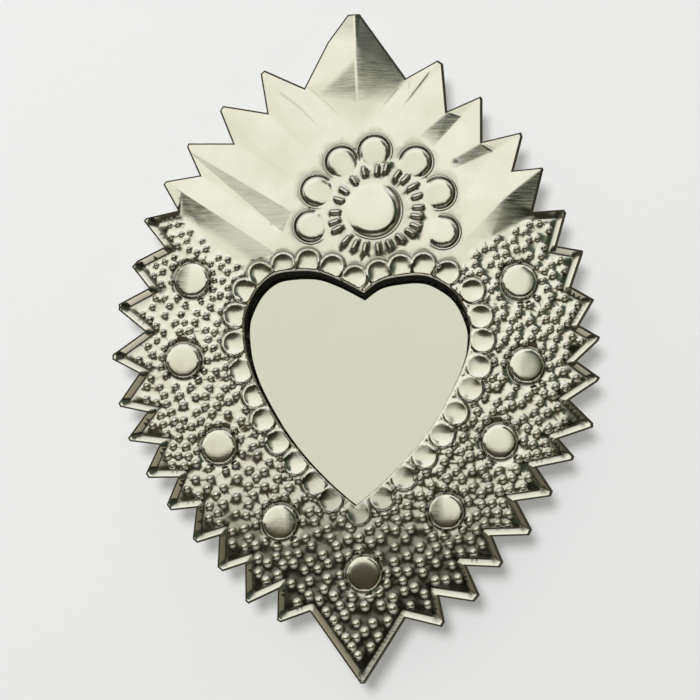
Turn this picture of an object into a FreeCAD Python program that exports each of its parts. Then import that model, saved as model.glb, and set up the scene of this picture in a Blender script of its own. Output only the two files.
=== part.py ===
import FreeCAD, Part
import math
import os
import random

# Hand-embossed tin wall mirror with a heart-shaped opening.
# One tin sheet with a toothed rim and a fluted crown carries a shallow tray on its back.
# The tray holds a black spacer board, the mirror glass and a packing card.
# +Z is up and the front faces -Y. The origin is on the tray's back face, behind the heart.

# The sheet
SHEET_HEIGHT = 228.0
SHEET_THICKNESS = 0.5
RIM_STRIP_WIDTH = 2.5
RIM_LIFT = 1.2
CROWN_LIFT = 2.4

# The relief pressed into the sheet
BOSS_RADIUS = 6.0
BOSS_RISE = 2.0
PETAL_GAP = 1.0
PETAL_RISE = 1.2
FLOWER_DISC_RISE = 1.4
DASH_COUNT = 23
DASH_LENGTH = 3.0
DASH_WIDTH = 1.5
DASH_RISE = 0.6
DASH_PETAL_GAP = 0.9
DASH_DISC_GAP = 0.7
CUP_EDGE_GAP = 0.35
CUP_RIM_WIDTH = 0.5
CUP_RISE = 0.8
CUP_FLOOR_RISE = 0.2
PEBBLE_RADIUS = 1.25
PEBBLE_RISE = 0.8
PEBBLE_APART = 0.3
PEBBLE_SHIFT = 0.45
PEBBLE_GAP = 0.2
PEBBLE_GROWTH_SHARE = 0.25
PEBBLE_SEED = 11

# The mirror and what holds it
BLANK_MARGIN = 5.2
BLANK_CORNER_SHARE = 0.34
SPACER_THICKNESS = 9.0
SPACER_HOLE_STEP = 1.0
GLASS_THICKNESS = 2.0
CARD_THICKNESS = 0.5
TRAY_THICKNESS = 0.5
TRAY_CLEARANCE = 0.5
FLANGE_WIDTH = 4.0
SOLDER_DAB_RADIUS = 2.2
SOLDER_DAB_RISE = 1.1

# The hanger
RING_WIRE_RADIUS = 1.0
RING_BAR_LENGTH = 14.0
RING_BEND_RADIUS = 2.5
RING_DROP = 17.0
RING_SHEET_GAP = 0.4
STRAP_FIT_GAP = 0.08
STRAP_WIDTH = 8.0
STRAP_THICKNESS = 0.5
STRAP_FOOT_LENGTH = 3.0

# The photograph, in its own pixels: what it looks at, from where, and how far away
FRAME_CENTRE_PIXEL = (350.0, 350.0)
VIEW_FOOT_PIXEL = (396.0, 490.0)
VIEW_DISTANCE_PIXELS = 1300.0
SHEET_TOP_PIXEL = (354.0, 14.0)
SHEET_BOTTOM_PIXEL = (362.7, 683.7)
MIRROR_CENTRE_PIXEL = (357.5, 388.5)
HANGER_PIXEL = (357.5, 132.0)

# Lower rim, clockwise from the right end of the crown: notches, and both corners of each tip
RIM_NOTCH_PIXELS = [
    (533.5, 211.0), (557.3, 245.9), (571.9, 286.8), (579.6, 325.2), (577.3, 361.2),
    (570.0, 400.0), (559.3, 438.9), (537.4, 467.6), (517.2, 501.3), (492.8, 536.5),
    (467.0, 566.2), (439.7, 596.6), (406.0, 618.5), (310.1, 612.0), (277.8, 590.1),
    (245.0, 564.0), (219.0, 536.2), (196.2, 507.8), (177.7, 477.7), (159.4, 444.8),
    (146.7, 412.4), (139.0, 373.5), (144.7, 331.4), (148.5, 288.0), (164.0, 247.0),
    (177.5, 210.0)]
RIM_TIP_PIXELS = [
    ((564.2, 209.5), (566.5, 213.0)), ((583.4, 250.5), (582.6, 255.0)),
    ((594.5, 299.5), (591.5, 304.9)), ((600.3, 337.0), (598.7, 341.0)),
    ((600.3, 377.5), (598.0, 381.5)), ((593.3, 423.0), (593.3, 427.4)),
    ((574.6, 456.5), (573.0, 460.4)), ((553.0, 491.0), (551.0, 496.5)),
    ((532.2, 529.6), (529.5, 535.4)), ((503.5, 562.2), (500.0, 567.6)),
    ((479.9, 595.1), (474.2, 602.0)), ((445.0, 622.0), (442.0, 627.2)),
    ((365.0, 683.7), (360.5, 683.7)), ((281.0, 622.5), (277.0, 620.5)),
    ((248.4, 603.9), (245.3, 601.2)), ((222.8, 571.5), (217.4, 567.2)),
    ((197.2, 543.1), (192.6, 538.9)), ((170.8, 510.6), (166.6, 504.8)),
    ((148.3, 478.1), (145.6, 473.5)), ((129.9, 441.3), (127.6, 438.3)),
    ((120.3, 407.0), (118.3, 403.5)), ((112.2, 359.5), (112.2, 354.7)),
    ((118.5, 310.0), (118.7, 304.0)), ((131.7, 266.6), (137.4, 260.5)),
    ((143.6, 221.0), (146.2, 218.0))]

# Crown edge, clockwise from the left: name, pixel, and lift as a share of CROWN_LIFT
CROWN_EDGE_PIXELS_AND_SHARES = [
    ("tip_l4_low", (163.3, 184.6), 0.50), ("tip_l4", (165.7, 181.2), 0.50),
    ("notch_l4", (199.5, 175.3), 0.00),
    ("tip_l3_low", (186.9, 147.0), 0.45), ("tip_l3", (188.4, 143.3), 0.45),
    ("notch_l3", (232.8, 143.3), 0.10),
    ("tip_l2_low", (219.8, 111.0), 0.30), ("tip_l2", (223.0, 105.8), 0.30),
    ("notch_l2", (267.0, 112.8), 0.10),
    ("tip_l1_low", (260.5, 74.0), 0.35), ("tip_l1", (264.6, 70.3), 0.35),
    ("notch_l1", (304.4, 87.8), 0.00),
    ("side_top", (327.5, 42.5), 0.30),
    ("top_left", (347.7, 14.8), 0.75), ("top_ridge", (354.0, 14.0), 1.00),
    ("top_right", (359.7, 13.9), 0.75),
    ("notch_r1", (406.0, 78.0), 0.00),
    ("tip_r1", (437.8, 60.1), 0.40), ("tip_r1_low", (443.2, 63.8), 0.35),
    ("notch_r2", (447.4, 111.0), 0.45),
    ("tip_r2", (480.7, 96.2), 0.30), ("tip_r2_low", (482.6, 98.9), 0.30),
    ("notch_r3", (482.6, 141.5), 0.45),
    ("tip_r3", (521.4, 132.2), 0.30), ("tip_r3_low", (522.7, 136.9), 0.30),
    ("notch_r4", (514.0, 170.3), 0.40),
    ("tip_r4", (542.7, 167.4), 0.80), ("tip_r4_low", (543.6, 169.2), 0.75)]

# Folds inside the crown, which rise from the flat field: the same three columns
CROWN_FOLD_PIXELS_AND_SHARES = [
    ("top_fold", (354.8, 56.0), 0.95),
    ("valley_r2", (460.4, 115.5), 0.00), ("valley_r3", (492.5, 151.4), 0.00),
    ("ridge_r4", (506.0, 197.0), 0.60), ("ridge_l4", (214.0, 210.4), 0.35)]

# Where the folds die out in the flat field, from the left to the right
FIELD_EDGE_PIXELS = [
    ("field_l6", (209.0, 239.0)), ("field_l5", (241.0, 263.0)), ("field_l4", (272.0, 255.0)),
    ("field_l34", (282.0, 232.0)), ("field_l3", (289.0, 210.0)), ("field_l23", (292.0, 178.0)),
    ("field_l2", (306.0, 150.0)), ("field_l1", (330.0, 128.0)), ("field_top", (359.0, 112.0)),
    ("field_r1", (380.0, 111.0)), ("field_r12", (401.0, 109.0)), ("field_r2", (418.0, 137.0)),
    ("field_r23", (437.0, 140.0)), ("field_r3", (451.0, 160.5)), ("field_r34", (459.0, 165.0)),
    ("field_r45", (462.0, 200.0)), ("field_r4", (465.0, 240.0)), ("field_r5", (490.0, 238.0)),
    ("field_r6", (515.0, 222.0))]

# The crown's facets, by the names of their corners; rim_left and rim_right end the lower rim
CROWN_FACETS = [
    ("rim_left", "crease_left", "field_l6"), ("rim_left", "field_l6", "ridge_l4"),
    ("rim_left", "ridge_l4", "tip_l4_low"), ("field_l6", "field_l5", "ridge_l4"),
    ("field_l5", "field_l4", "ridge_l4"), ("tip_l4_low", "ridge_l4", "tip_l4"),
    ("tip_l4", "ridge_l4", "notch_l4"), ("ridge_l4", "field_l4", "field_l34"),
    ("ridge_l4", "field_l34", "notch_l4"), ("notch_l4", "field_l34", "field_l3"),
    ("notch_l4", "field_l3", "tip_l3_low"), ("tip_l3_low", "field_l3", "tip_l3"),
    ("tip_l3", "field_l3", "notch_l3"), ("notch_l3", "field_l3", "field_l23"),
    ("notch_l3", "field_l23", "tip_l2_low"), ("tip_l2_low", "field_l23", "tip_l2"),
    ("tip_l2", "field_l23", "field_l2"), ("tip_l2", "field_l2", "notch_l2"),
    ("notch_l2", "field_l2", "tip_l1_low"), ("tip_l1_low", "field_l2", "tip_l1"),
    ("tip_l1", "field_l2", "field_l1"), ("tip_l1", "field_l1", "notch_l1"),
    ("notch_l1", "field_l1", "field_top"), ("notch_l1", "field_top", "side_top"),
    ("side_top", "field_top", "top_fold"), ("side_top", "top_fold", "top_left"),
    ("top_left", "top_fold", "top_ridge"), ("top_ridge", "top_fold", "top_right"),
    ("top_right", "top_fold", "notch_r1"), ("top_fold", "field_top", "notch_r1"),
    ("notch_r1", "field_top", "field_r1"), ("notch_r1", "field_r1", "field_r12"),
    ("notch_r1", "field_r12", "tip_r1"), ("tip_r1", "field_r12", "tip_r1_low"),
    ("tip_r1_low", "field_r12", "field_r2"), ("tip_r1_low", "field_r2", "notch_r2"),
    ("notch_r2", "field_r2", "field_r23"), ("notch_r2", "field_r23", "valley_r2"),
    ("notch_r2", "valley_r2", "tip_r2"), ("tip_r2", "valley_r2", "tip_r2_low"),
    ("tip_r2_low", "valley_r2", "notch_r3"), ("valley_r2", "field_r23", "field_r3"),
    ("valley_r2", "field_r3", "notch_r3"), ("notch_r3", "field_r3", "field_r34"),
    ("notch_r3", "field_r34", "valley_r3"), ("notch_r3", "valley_r3", "tip_r3"),
    ("tip_r3", "valley_r3", "tip_r3_low"), ("tip_r3_low", "valley_r3", "notch_r4"),
    ("valley_r3", "field_r34", "field_r45"), ("valley_r3", "field_r45", "ridge_r4"),
    ("valley_r3", "ridge_r4", "notch_r4"), ("notch_r4", "ridge_r4", "tip_r4"),
    ("tip_r4", "ridge_r4", "tip_r4_low"), ("ridge_r4", "field_r45", "field_r4"),
    ("ridge_r4", "field_r4", "field_r5"), ("ridge_r4", "field_r5", "field_r6"),
    ("ridge_r4", "field_r6", "rim_right"), ("tip_r4_low", "ridge_r4", "rim_right"),
    ("rim_right", "field_r6", "crease_right")]

# Heart opening: each side from the dip between the lobes round to the point
HEART_RIGHT_PIXELS = [
    (363.7, 292.7), (381.3, 280.6), (405.4, 275.7), (425.9, 275.7), (443.8, 283.8),
    (457.1, 295.4), (466.5, 313.2), (470.5, 331.0), (466.0, 358.8), (447.3, 400.0),
    (428.6, 430.4), (407.0, 457.0), (381.3, 483.5), (355.4, 505.9)]
HEART_LEFT_PIXELS = [
    (363.7, 292.7), (340.5, 280.6), (318.2, 272.1), (297.7, 270.8), (274.5, 274.4),
    (258.4, 287.3), (248.1, 306.0), (244.1, 323.0), (246.8, 353.4), (255.3, 380.0),
    (269.6, 408.0), (285.7, 433.9), (305.4, 458.9), (326.8, 481.3), (344.6, 497.3),
    (355.4, 505.9)]

# Centres of the relief
BOSS_PIXELS = [
    (192.6, 280.7), (183.9, 361.2), (219.5, 447.0), (280.1, 522.2), (364.1, 573.7),
    (446.3, 511.7), (499.7, 442.0), (526.5, 366.0), (519.3, 282.0)]
FLOWER_CENTRE_PIXEL = (373.0, 210.0)
PETAL_PIXELS = [
    (310.7, 226.5), (317.0, 191.0), (341.6, 162.0), (374.5, 151.0), (415.8, 162.0),
    (439.0, 193.0), (443.0, 232.0)]
CUP_PIXELS = [
    (256.0, 270.0), (242.0, 290.7), (235.2, 315.7), (234.3, 343.4), (240.7, 371.0),
    (252.0, 396.0), (263.0, 420.0), (277.7, 442.3), (295.3, 462.7), (313.8, 483.0),
    (330.4, 499.7), (358.2, 515.6), (381.8, 499.8), (404.0, 479.5), (424.3, 458.2),
    (442.0, 436.0), (457.8, 412.8), (472.6, 388.7), (481.0, 366.5), (484.6, 340.6),
    (482.7, 316.6), (474.4, 290.7), (449.4, 271.0), (423.4, 262.8), (400.3, 263.6),
    (378.5, 268.2), (354.8, 273.7), (332.3, 262.6), (308.2, 258.0), (283.3, 260.8)]

# Upper limit of the pebbled field, from the left to the right
PEBBLE_LIMIT_PIXELS = [
    (209.0, 239.0), (241.0, 263.0), (460.0, 262.0), (490.0, 238.0), (515.0, 222.0)]

# Places along y of the layers, from the wall forward
CARD_BACK_Y = -TRAY_THICKNESS
GLASS_BACK_Y = CARD_BACK_Y - CARD_THICKNESS
SPACER_BACK_Y = GLASS_BACK_Y - GLASS_THICKNESS
SHEET_BACK_Y = SPACER_BACK_Y - SPACER_THICKNESS
SHEET_FRONT_Y = SHEET_BACK_Y - SHEET_THICKNESS

TOWARDS_WALL = FreeCAD.Vector(0, 1, 0)
TOWARDS_FRONT = FreeCAD.Vector(0, -1, 0)
UP = FreeCAD.Vector(0, 0, 1)


def view_ray(pixel):
    """Eye point of the photograph and the ray through a pixel, in frame pixels."""
    eye = FreeCAD.Vector(VIEW_FOOT_PIXEL[0] - FRAME_CENTRE_PIXEL[0],
                         -VIEW_DISTANCE_PIXELS,
                         FRAME_CENTRE_PIXEL[1] - VIEW_FOOT_PIXEL[1])
    ahead = eye * -1
    side = ahead.cross(UP).normalize()
    rise = side.cross(ahead).normalize()
    ray = (ahead + side * (pixel[0] - FRAME_CENTRE_PIXEL[0])
           + rise * (FRAME_CENTRE_PIXEL[1] - pixel[1]))
    return eye, ray


def frame_place(pixel, lift_pixels=0):
    """Where the ray through a pixel meets the sheet, or a plane lifted in front of it."""
    eye, ray = view_ray(pixel)
    return eye + ray * ((VIEW_DISTANCE_PIXELS - lift_pixels) / ray.y)


def lift_slope(pixel):
    """How far the ray through a pixel rises for each length that it runs towards the wall."""
    eye, ray = view_ray(pixel)
    return ray.z / ray.y


def make_scale():
    """Millimetres per frame pixel on the sheet, with its top and bottom tips lifted."""
    flat_height = frame_place(SHEET_TOP_PIXEL).z - frame_place(SHEET_BOTTOM_PIXEL).z
    hidden = CROWN_LIFT * lift_slope(SHEET_TOP_PIXEL) - RIM_LIFT * lift_slope(SHEET_BOTTOM_PIXEL)
    return (SHEET_HEIGHT + hidden) / flat_height


MM_PER_PIXEL = make_scale()
FRAME_ORIGIN = frame_place(MIRROR_CENTRE_PIXEL)


def sheet_point(pixel, lift=0):
    """Point of the sheet's front face seen at a pixel, lifted forward by lift."""
    place = frame_place(pixel, lift / MM_PER_PIXEL)
    return FreeCAD.Vector((place.x - FRAME_ORIGIN.x) * MM_PER_PIXEL,
                          SHEET_FRONT_Y - lift,
                          (place.z - FRAME_ORIGIN.z) * MM_PER_PIXEL)


def inward(start, end):
    """Unit vector to the right of the run from start to end, seen from the front."""
    run = (end - start).normalize()
    return FreeCAD.Vector(run.z, 0, -run.x)


def crease_corner(first, second):
    """Where the creases of two rim edges meet, each a strip's width inside its edge."""
    first_start = first[0] + inward(*first) * RIM_STRIP_WIDTH
    first_run = first[1] - first[0]
    second_start = second[0] + inward(*second) * RIM_STRIP_WIDTH
    second_run = second[1] - second[0]
    apart = second_start - first_start
    turn = first_run.x * second_run.z - first_run.z * second_run.x
    share = (apart.x * second_run.z - apart.z * second_run.x) / turn
    corner = first_start + first_run * share
    corner.y = SHEET_FRONT_Y
    return corner


def make_rim():
    """Strip polygons of the lower rim, its outer edge and its crease, both clockwise."""
    notches = [sheet_point(pixel, RIM_LIFT) for pixel in RIM_NOTCH_PIXELS]
    tips = [[sheet_point(pixel, RIM_LIFT) for pixel in pair] for pair in RIM_TIP_PIXELS]
    falling = [(notch, pair[0]) for notch, pair in zip(notches[:-1], tips)]
    rising = [(pair[1], notch) for pair, notch in zip(tips, notches[1:])]
    tip_creases = [crease_corner(*pair) for pair in zip(falling, rising)]
    notch_creases = [crease_corner(*pair) for pair in zip(rising[:-1], falling[1:])]
    first = falling[0][0] + inward(*falling[0]) * RIM_STRIP_WIDTH
    last = rising[-1][1] + inward(*rising[-1]) * RIM_STRIP_WIDTH
    first.y = SHEET_FRONT_Y
    last.y = SHEET_FRONT_Y
    notch_creases = [first] + notch_creases + [last]
    strips = []
    outer_edge = [notches[0]]
    crease = [first]
    for place, pair in enumerate(tips):
        strips.append([notches[place], pair[0], tip_creases[place], notch_creases[place]])
        strips.append([pair[0], pair[1], tip_creases[place]])
        strips.append([pair[1], notches[place + 1], notch_creases[place + 1],
                       tip_creases[place]])
        outer_edge += [pair[0], pair[1], notches[place + 1]]
        crease += [tip_creases[place], notch_creases[place + 1]]
    return strips, outer_edge, crease


def make_crown(rim_edge, crease):
    """Crown facets, the crown's outer edge and the edge of the flat field, clockwise."""
    corners = {"rim_left": rim_edge[-1], "rim_right": rim_edge[0],
               "crease_left": crease[-1], "crease_right": crease[0]}
    for name, pixel, share in CROWN_EDGE_PIXELS_AND_SHARES + CROWN_FOLD_PIXELS_AND_SHARES:
        corners[name] = sheet_point(pixel, CROWN_LIFT * share)
    for name, pixel in FIELD_EDGE_PIXELS:
        corners[name] = sheet_point(pixel)
    facets = [[corners[name] for name in facet] for facet in CROWN_FACETS]
    crown_edge = [corners[name] for name, pixel, share in CROWN_EDGE_PIXELS_AND_SHARES]
    field_edge = [corners[name] for name, pixel in FIELD_EDGE_PIXELS]
    return facets, crown_edge, field_edge


def polygon_wire(points):
    return Part.makePolygon(points + points[:1])


def make_heart(back_y, growth=1):
    """Closed wire of the heart-shaped opening at back_y, grown by a factor about its middle."""
    sides = []
    for pixels in (HEART_RIGHT_PIXELS, HEART_LEFT_PIXELS):
        points = []
        for pixel in pixels:
            place = sheet_point(pixel) * growth
            points.append(FreeCAD.Vector(place.x, back_y, place.z))
        curve = Part.BSplineCurve()
        curve.interpolate(points)
        sides.append(curve.toShape())
    return Part.Wire(Part.__sortEdges__(sides))


def turned_patch(centre, profile):
    """Face turned about the line through centre towards the front, from edges of a profile."""
    return Part.Wire(profile).revolve(centre, TOWARDS_FRONT, 360)


def profile_point(centre, radius, rise):
    return centre + FreeCAD.Vector(radius, -rise, 0)


def cap_arc(centre, radius, edge_rise, middle_rise):
    """Half section of a ball's cap, from its edge to its middle, which is higher or lower."""
    swell = middle_rise - edge_rise
    ball_radius = (radius ** 2 + swell ** 2) / (2 * swell)
    halfway_drop = abs(ball_radius) - math.sqrt(ball_radius ** 2 - (radius / 2) ** 2)
    halfway_rise = middle_rise - math.copysign(halfway_drop, swell)
    return Part.Arc(profile_point(centre, radius, edge_rise),
                    profile_point(centre, radius / 2, halfway_rise),
                    profile_point(centre, 0, middle_rise)).toShape()


def domed_patch(centre, radius, rise):
    """A smooth dome on the sheet's face."""
    return turned_patch(centre, [cap_arc(centre, radius, 0, rise)])


def cup_patch(centre, radius, rise):
    """A cup pressed from the front: a raised rim round a shallow dish."""
    dish_radius = radius - CUP_RIM_WIDTH
    outer = Part.makeLine(profile_point(centre, radius, 0),
                          profile_point(centre, dish_radius, rise))
    return turned_patch(centre, [outer, cap_arc(centre, dish_radius, rise, CUP_FLOOR_RISE)])


def petal_radius():
    """Half the way between the nearest two petals, less half the gap that they keep."""
    centres = [sheet_point(pixel) for pixel in PETAL_PIXELS]
    nearest = min(first.distanceToPoint(second)
                  for first, second in zip(centres[:-1], centres[1:]))
    return (nearest - PETAL_GAP) / 2


def dash_end_radius():
    """Where the dashes end, seen from the flower's centre: clear of the nearest petal."""
    centre = sheet_point(FLOWER_CENTRE_PIXEL)
    nearest = min(centre.distanceToPoint(sheet_point(pixel)) for pixel in PETAL_PIXELS)
    return nearest - petal_radius() - DASH_PETAL_GAP


def cup_radius(heart):
    """What the cups' centres leave up to the heart's edge, less the gap that they keep."""
    nearest = min(Part.Vertex(sheet_point(pixel)).distToShape(heart)[0]
                  for pixel in CUP_PIXELS)
    return nearest - CUP_EDGE_GAP


def round_patches(heart):
    """Domes and cups of the sheet's front face."""
    patches = []
    for pixel in BOSS_PIXELS:
        patches.append(domed_patch(sheet_point(pixel), BOSS_RADIUS, BOSS_RISE))
    for pixel in PETAL_PIXELS:
        patches.append(domed_patch(sheet_point(pixel), petal_radius(), PETAL_RISE))
    disc_radius = dash_end_radius() - DASH_LENGTH - DASH_DISC_GAP
    patches.append(domed_patch(sheet_point(FLOWER_CENTRE_PIXEL), disc_radius,
                               FLOWER_DISC_RISE))
    for pixel in CUP_PIXELS:
        patches.append(cup_patch(sheet_point(pixel), cup_radius(heart), CUP_RISE))
    return patches


def is_inside(outline, place):
    """Whether a place in the sheet's plane lies inside a closed outline."""
    result = False
    for start, end in zip(outline, outline[1:] + outline[:1]):
        if (start.z > place.z) != (end.z > place.z):
            share = (place.z - start.z) / (end.z - start.z)
            if place.x < start.x + (end.x - start.x) * share:
                result = not result
    return result


def edge_distance(outline, place):
    """Distance of a place from a closed outline."""
    result = math.inf
    for start, end in zip(outline, outline[1:] + outline[:1]):
        run = end - start
        share = (place - start).dot(run) / run.dot(run)
        nearest = start + run * min(max(share, 0), 1)
        result = min(result, place.distanceToPoint(nearest))
    return result


def pebble_size(place):
    """Radius of a pebble and its least distance to the next: both grow down the field."""
    top = sheet_point(RIM_NOTCH_PIXELS[0]).z
    bottom = sheet_point(SHEET_BOTTOM_PIXEL).z
    growth = 1 + PEBBLE_GROWTH_SHARE * (top - place.z) / (top - bottom)
    radius = PEBBLE_RADIUS * growth
    return radius, 2 * radius + PEBBLE_APART


def pebble_rows(crease, rounds):
    """Places for pebbles along the teeth and round the bosses and cups."""
    places = []
    for start, end in zip(crease[:-1], crease[1:]):
        radius, spacing = pebble_size(start)
        count = max(1, int(start.distanceToPoint(end) / spacing))
        step = inward(start, end) * (radius + PEBBLE_GAP)
        for number in range(count):
            places.append(start + (end - start) * ((number + 1 / 2) / count) + step)
    for centre, round_radius in rounds:
        radius, spacing = pebble_size(centre)
        ring_radius = round_radius + radius + PEBBLE_GAP
        count = int(2 * math.pi * ring_radius / spacing)
        for number in range(count):
            angle = 2 * math.pi * number / count
            spoke = FreeCAD.Vector(math.cos(angle), 0, math.sin(angle))
            places.append(centre + spoke * ring_radius)
    return places


def pebble_field(limits):
    """Places for pebbles all over the field: staggered rows, coarse ones and then fine ones."""
    places = []
    left = min(corner.x for corner in limits)
    right = max(corner.x for corner in limits)
    low = min(corner.z for corner in limits)
    high = max(corner.z for corner in limits)
    spacing = 2 * PEBBLE_RADIUS + PEBBLE_APART
    for step in (spacing, spacing / 3):
        for row in range(int((high - low) / step)):
            stagger = step / 2 if row % 2 else 0
            for column in range(int((right - left) / step)):
                places.append(FreeCAD.Vector(left + column * step + stagger, SHEET_FRONT_Y,
                                             high - row * step))
    return places


def pebble_places(crease, heart):
    """Middles and radii of the pebbles, shifted at random as hand punching leaves them."""
    limits = crease + [sheet_point(pixel) for pixel in PEBBLE_LIMIT_PIXELS]
    cups = [sheet_point(pixel) for pixel in CUP_PIXELS]
    rounds = [(sheet_point(pixel), BOSS_RADIUS) for pixel in BOSS_PIXELS]
    rounds += [(cup, cup_radius(heart)) for cup in cups]
    chance = random.Random(PEBBLE_SEED)
    pebbles = []
    for place in pebble_rows(crease, rounds) + pebble_field(limits):
        shift = FreeCAD.Vector(chance.uniform(-1, 1), 0, chance.uniform(-1, 1)) * PEBBLE_SHIFT
        place = place + shift
        radius, spacing = pebble_size(place)
        if not is_inside(limits, place) or is_inside(cups, place):
            continue
        if any(place.distanceToPoint(other) < spacing for other, other_radius in pebbles):
            continue
        if any(place.distanceToPoint(centre) < round_radius + radius + PEBBLE_GAP / 2
               for centre, round_radius in rounds):
            continue
        if edge_distance(limits, place) < radius + PEBBLE_GAP / 2:
            continue
        pebbles.append((place, radius))
    return pebbles


def dash_facets(place):
    """Four facets of one raised dash round the flower's centre, and its outline."""
    angle = 2 * math.pi * place / DASH_COUNT
    out = FreeCAD.Vector(math.cos(angle), 0, math.sin(angle))
    across = FreeCAD.Vector(-out.z, 0, out.x) * (DASH_WIDTH / 2)
    ring_radius = dash_end_radius() - DASH_LENGTH / 2
    middle = sheet_point(FLOWER_CENTRE_PIXEL) + out * ring_radius
    half = out * (DASH_LENGTH / 2)
    ridge_half = out * ((DASH_LENGTH - DASH_WIDTH) / 2)
    lift = TOWARDS_FRONT * DASH_RISE
    corners = [middle - half - across, middle + half - across,
               middle + half + across, middle - half + across]
    ridge = [middle - ridge_half + lift, middle + ridge_half + lift]
    facets = [[corners[0], corners[1], ridge[1], ridge[0]],
              [corners[1], corners[2], ridge[1]],
              [corners[2], corners[3], ridge[0], ridge[1]],
              [corners[3], corners[0], ridge[0]]]
    return facets, corners


def circle_wire(patch):
    """The outer circle of a turned patch, the widest of its round edges."""
    rounds = [edge for edge in patch.Edges
              if not edge.Degenerated and isinstance(edge.Curve, Part.Circle) and edge.isClosed()]
    widest = max(rounds, key=lambda edge: edge.Curve.Radius)
    return Part.Wire([widest])


def make_front_sheet():
    strips, rim_edge, crease = make_rim()
    crown_facets, crown_edge, field_edge = make_crown(rim_edge, crease)
    dashes = [dash_facets(place) for place in range(DASH_COUNT)]
    polygons = strips + crown_facets
    for facets, corners in dashes:
        polygons += facets
    heart = make_heart(SHEET_FRONT_Y)
    patches = round_patches(heart)
    patches += [domed_patch(place, radius, PEBBLE_RISE)
                for place, radius in pebble_places(crease, heart)]
    holes = [heart] + [circle_wire(patch) for patch in patches]
    holes += [polygon_wire(corners) for facets, corners in dashes]
    field_outline = polygon_wire(crease + field_edge)
    field = Part.makeFace([field_outline] + holes, "Part::FaceMakerBullseye")
    front = [field] + [Part.Face(polygon_wire(polygon)) for polygon in polygons]
    for patch in patches:
        front += patch.Faces
    through = TOWARDS_WALL * SHEET_THICKNESS
    back = []
    for face in front:
        copied = face.copy()
        copied.translate(through)
        back.append(copied)
    outer_edge = polygon_wire(rim_edge + crown_edge)
    sides = outer_edge.extrude(through).Faces + heart.extrude(through).Faces
    shell = Part.makeShell(front + back + sides)
    shell.sewShape()
    solid = Part.makeSolid(shell)
    if solid.Volume < 0:
        solid.reverse()
    return solid


def blank_size():
    """Width, height and corner cut of the mirror blank, which reaches round the heart."""
    heart = make_heart(SHEET_BACK_Y).BoundBox
    width = heart.XLength + 2 * BLANK_MARGIN
    return width, heart.ZLength + 2 * BLANK_MARGIN, width * BLANK_CORNER_SHARE


def blank_outline(step, y):
    """Wire of the mirror blank, grown by step: a rectangle with its lower corners cut."""
    width, height, corner_cut = blank_size()
    half_width = width / 2 + step
    half_height = height / 2 + step
    cut = corner_cut + step * (2 - math.sqrt(2))
    corners = [(-half_width, half_height), (half_width, half_height),
               (half_width, -half_height + cut), (half_width - cut, -half_height),
               (-half_width + cut, -half_height), (-half_width, -half_height + cut)]
    return polygon_wire([FreeCAD.Vector(x, y, z) for x, z in corners])


def slab(wire, thickness):
    """Solid from a wire, forward by thickness."""
    return Part.Face(wire).extrude(TOWARDS_FRONT * thickness)


def make_spacer_board():
    """Board with the heart's opening, set back from the sheet's edge by a step at its sides."""
    board = slab(blank_outline(0, SPACER_BACK_Y), SPACER_THICKNESS)
    heart_width = make_heart(SPACER_BACK_Y).BoundBox.XLength
    hole = make_heart(SPACER_BACK_Y, 1 + 2 * SPACER_HOLE_STEP / heart_width)
    return board.cut(slab(hole, SPACER_THICKNESS))


def make_mirror_glass():
    return slab(blank_outline(0, GLASS_BACK_Y), GLASS_THICKNESS)


def make_packing_card():
    return slab(blank_outline(0, CARD_BACK_Y), CARD_THICKNESS)


def make_back_tray():
    depth = -SHEET_BACK_Y
    outer_step = TRAY_CLEARANCE + TRAY_THICKNESS
    pan = slab(blank_outline(outer_step, 0), depth)
    flange_y = SHEET_BACK_Y + TRAY_THICKNESS
    flange = slab(blank_outline(outer_step + FLANGE_WIDTH, flange_y), TRAY_THICKNESS)
    hollow = slab(blank_outline(TRAY_CLEARANCE, CARD_BACK_Y), depth)
    return pan.fuse(flange).cut(hollow).removeSplitter()


def solder_dab(x, z):
    """Flat drop of solder on the sheet's back: a cap of a ball."""
    ball_radius = (SOLDER_DAB_RADIUS ** 2 + SOLDER_DAB_RISE ** 2) / (2 * SOLDER_DAB_RISE)
    centre = FreeCAD.Vector(x, SHEET_BACK_Y + SOLDER_DAB_RISE - ball_radius, z)
    ball = Part.makeSphere(ball_radius, centre)
    below = Part.makeBox(4 * ball_radius, 2 * ball_radius, 4 * ball_radius,
                         FreeCAD.Vector(x - 2 * ball_radius, SHEET_BACK_Y - 2 * ball_radius,
                                        z - 2 * ball_radius))
    return ball.cut(below)


def make_tray_solder(tray):
    """Dabs over the flange's edge: two on the top and each side, one on each slant and below."""
    width, height, corner_cut = blank_size()
    reach = TRAY_CLEARANCE + TRAY_THICKNESS + FLANGE_WIDTH
    side_x = width / 2 + reach
    top_z = height / 2 + reach
    side_middle_z = corner_cut / 2
    side_spread = (height - corner_cut) / 3
    slant_x = side_x - corner_cut / 2
    slant_z = -top_z + corner_cut / 2
    slant_in = reach * (1 - math.sqrt(2) / 2)
    places = [(slant_x - slant_in, slant_z + slant_in), (-slant_x + slant_in, slant_z + slant_in),
              (width / 4, top_z), (-width / 4, top_z)]
    for side in (-1, 1):
        places.append((side * side_x, side_middle_z + side_spread))
        places.append((side * side_x, side_middle_z - side_spread))
    places.append((0, -top_z))
    return [solder_dab(x, z).cut(tray) for x, z in places]


def bar_centre():
    """Middle of the ring's straight bar, which is its axis."""
    return FreeCAD.Vector(0, SHEET_BACK_Y + RING_WIRE_RADIUS + RING_SHEET_GAP,
                          sheet_point(HANGER_PIXEL).z)


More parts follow.
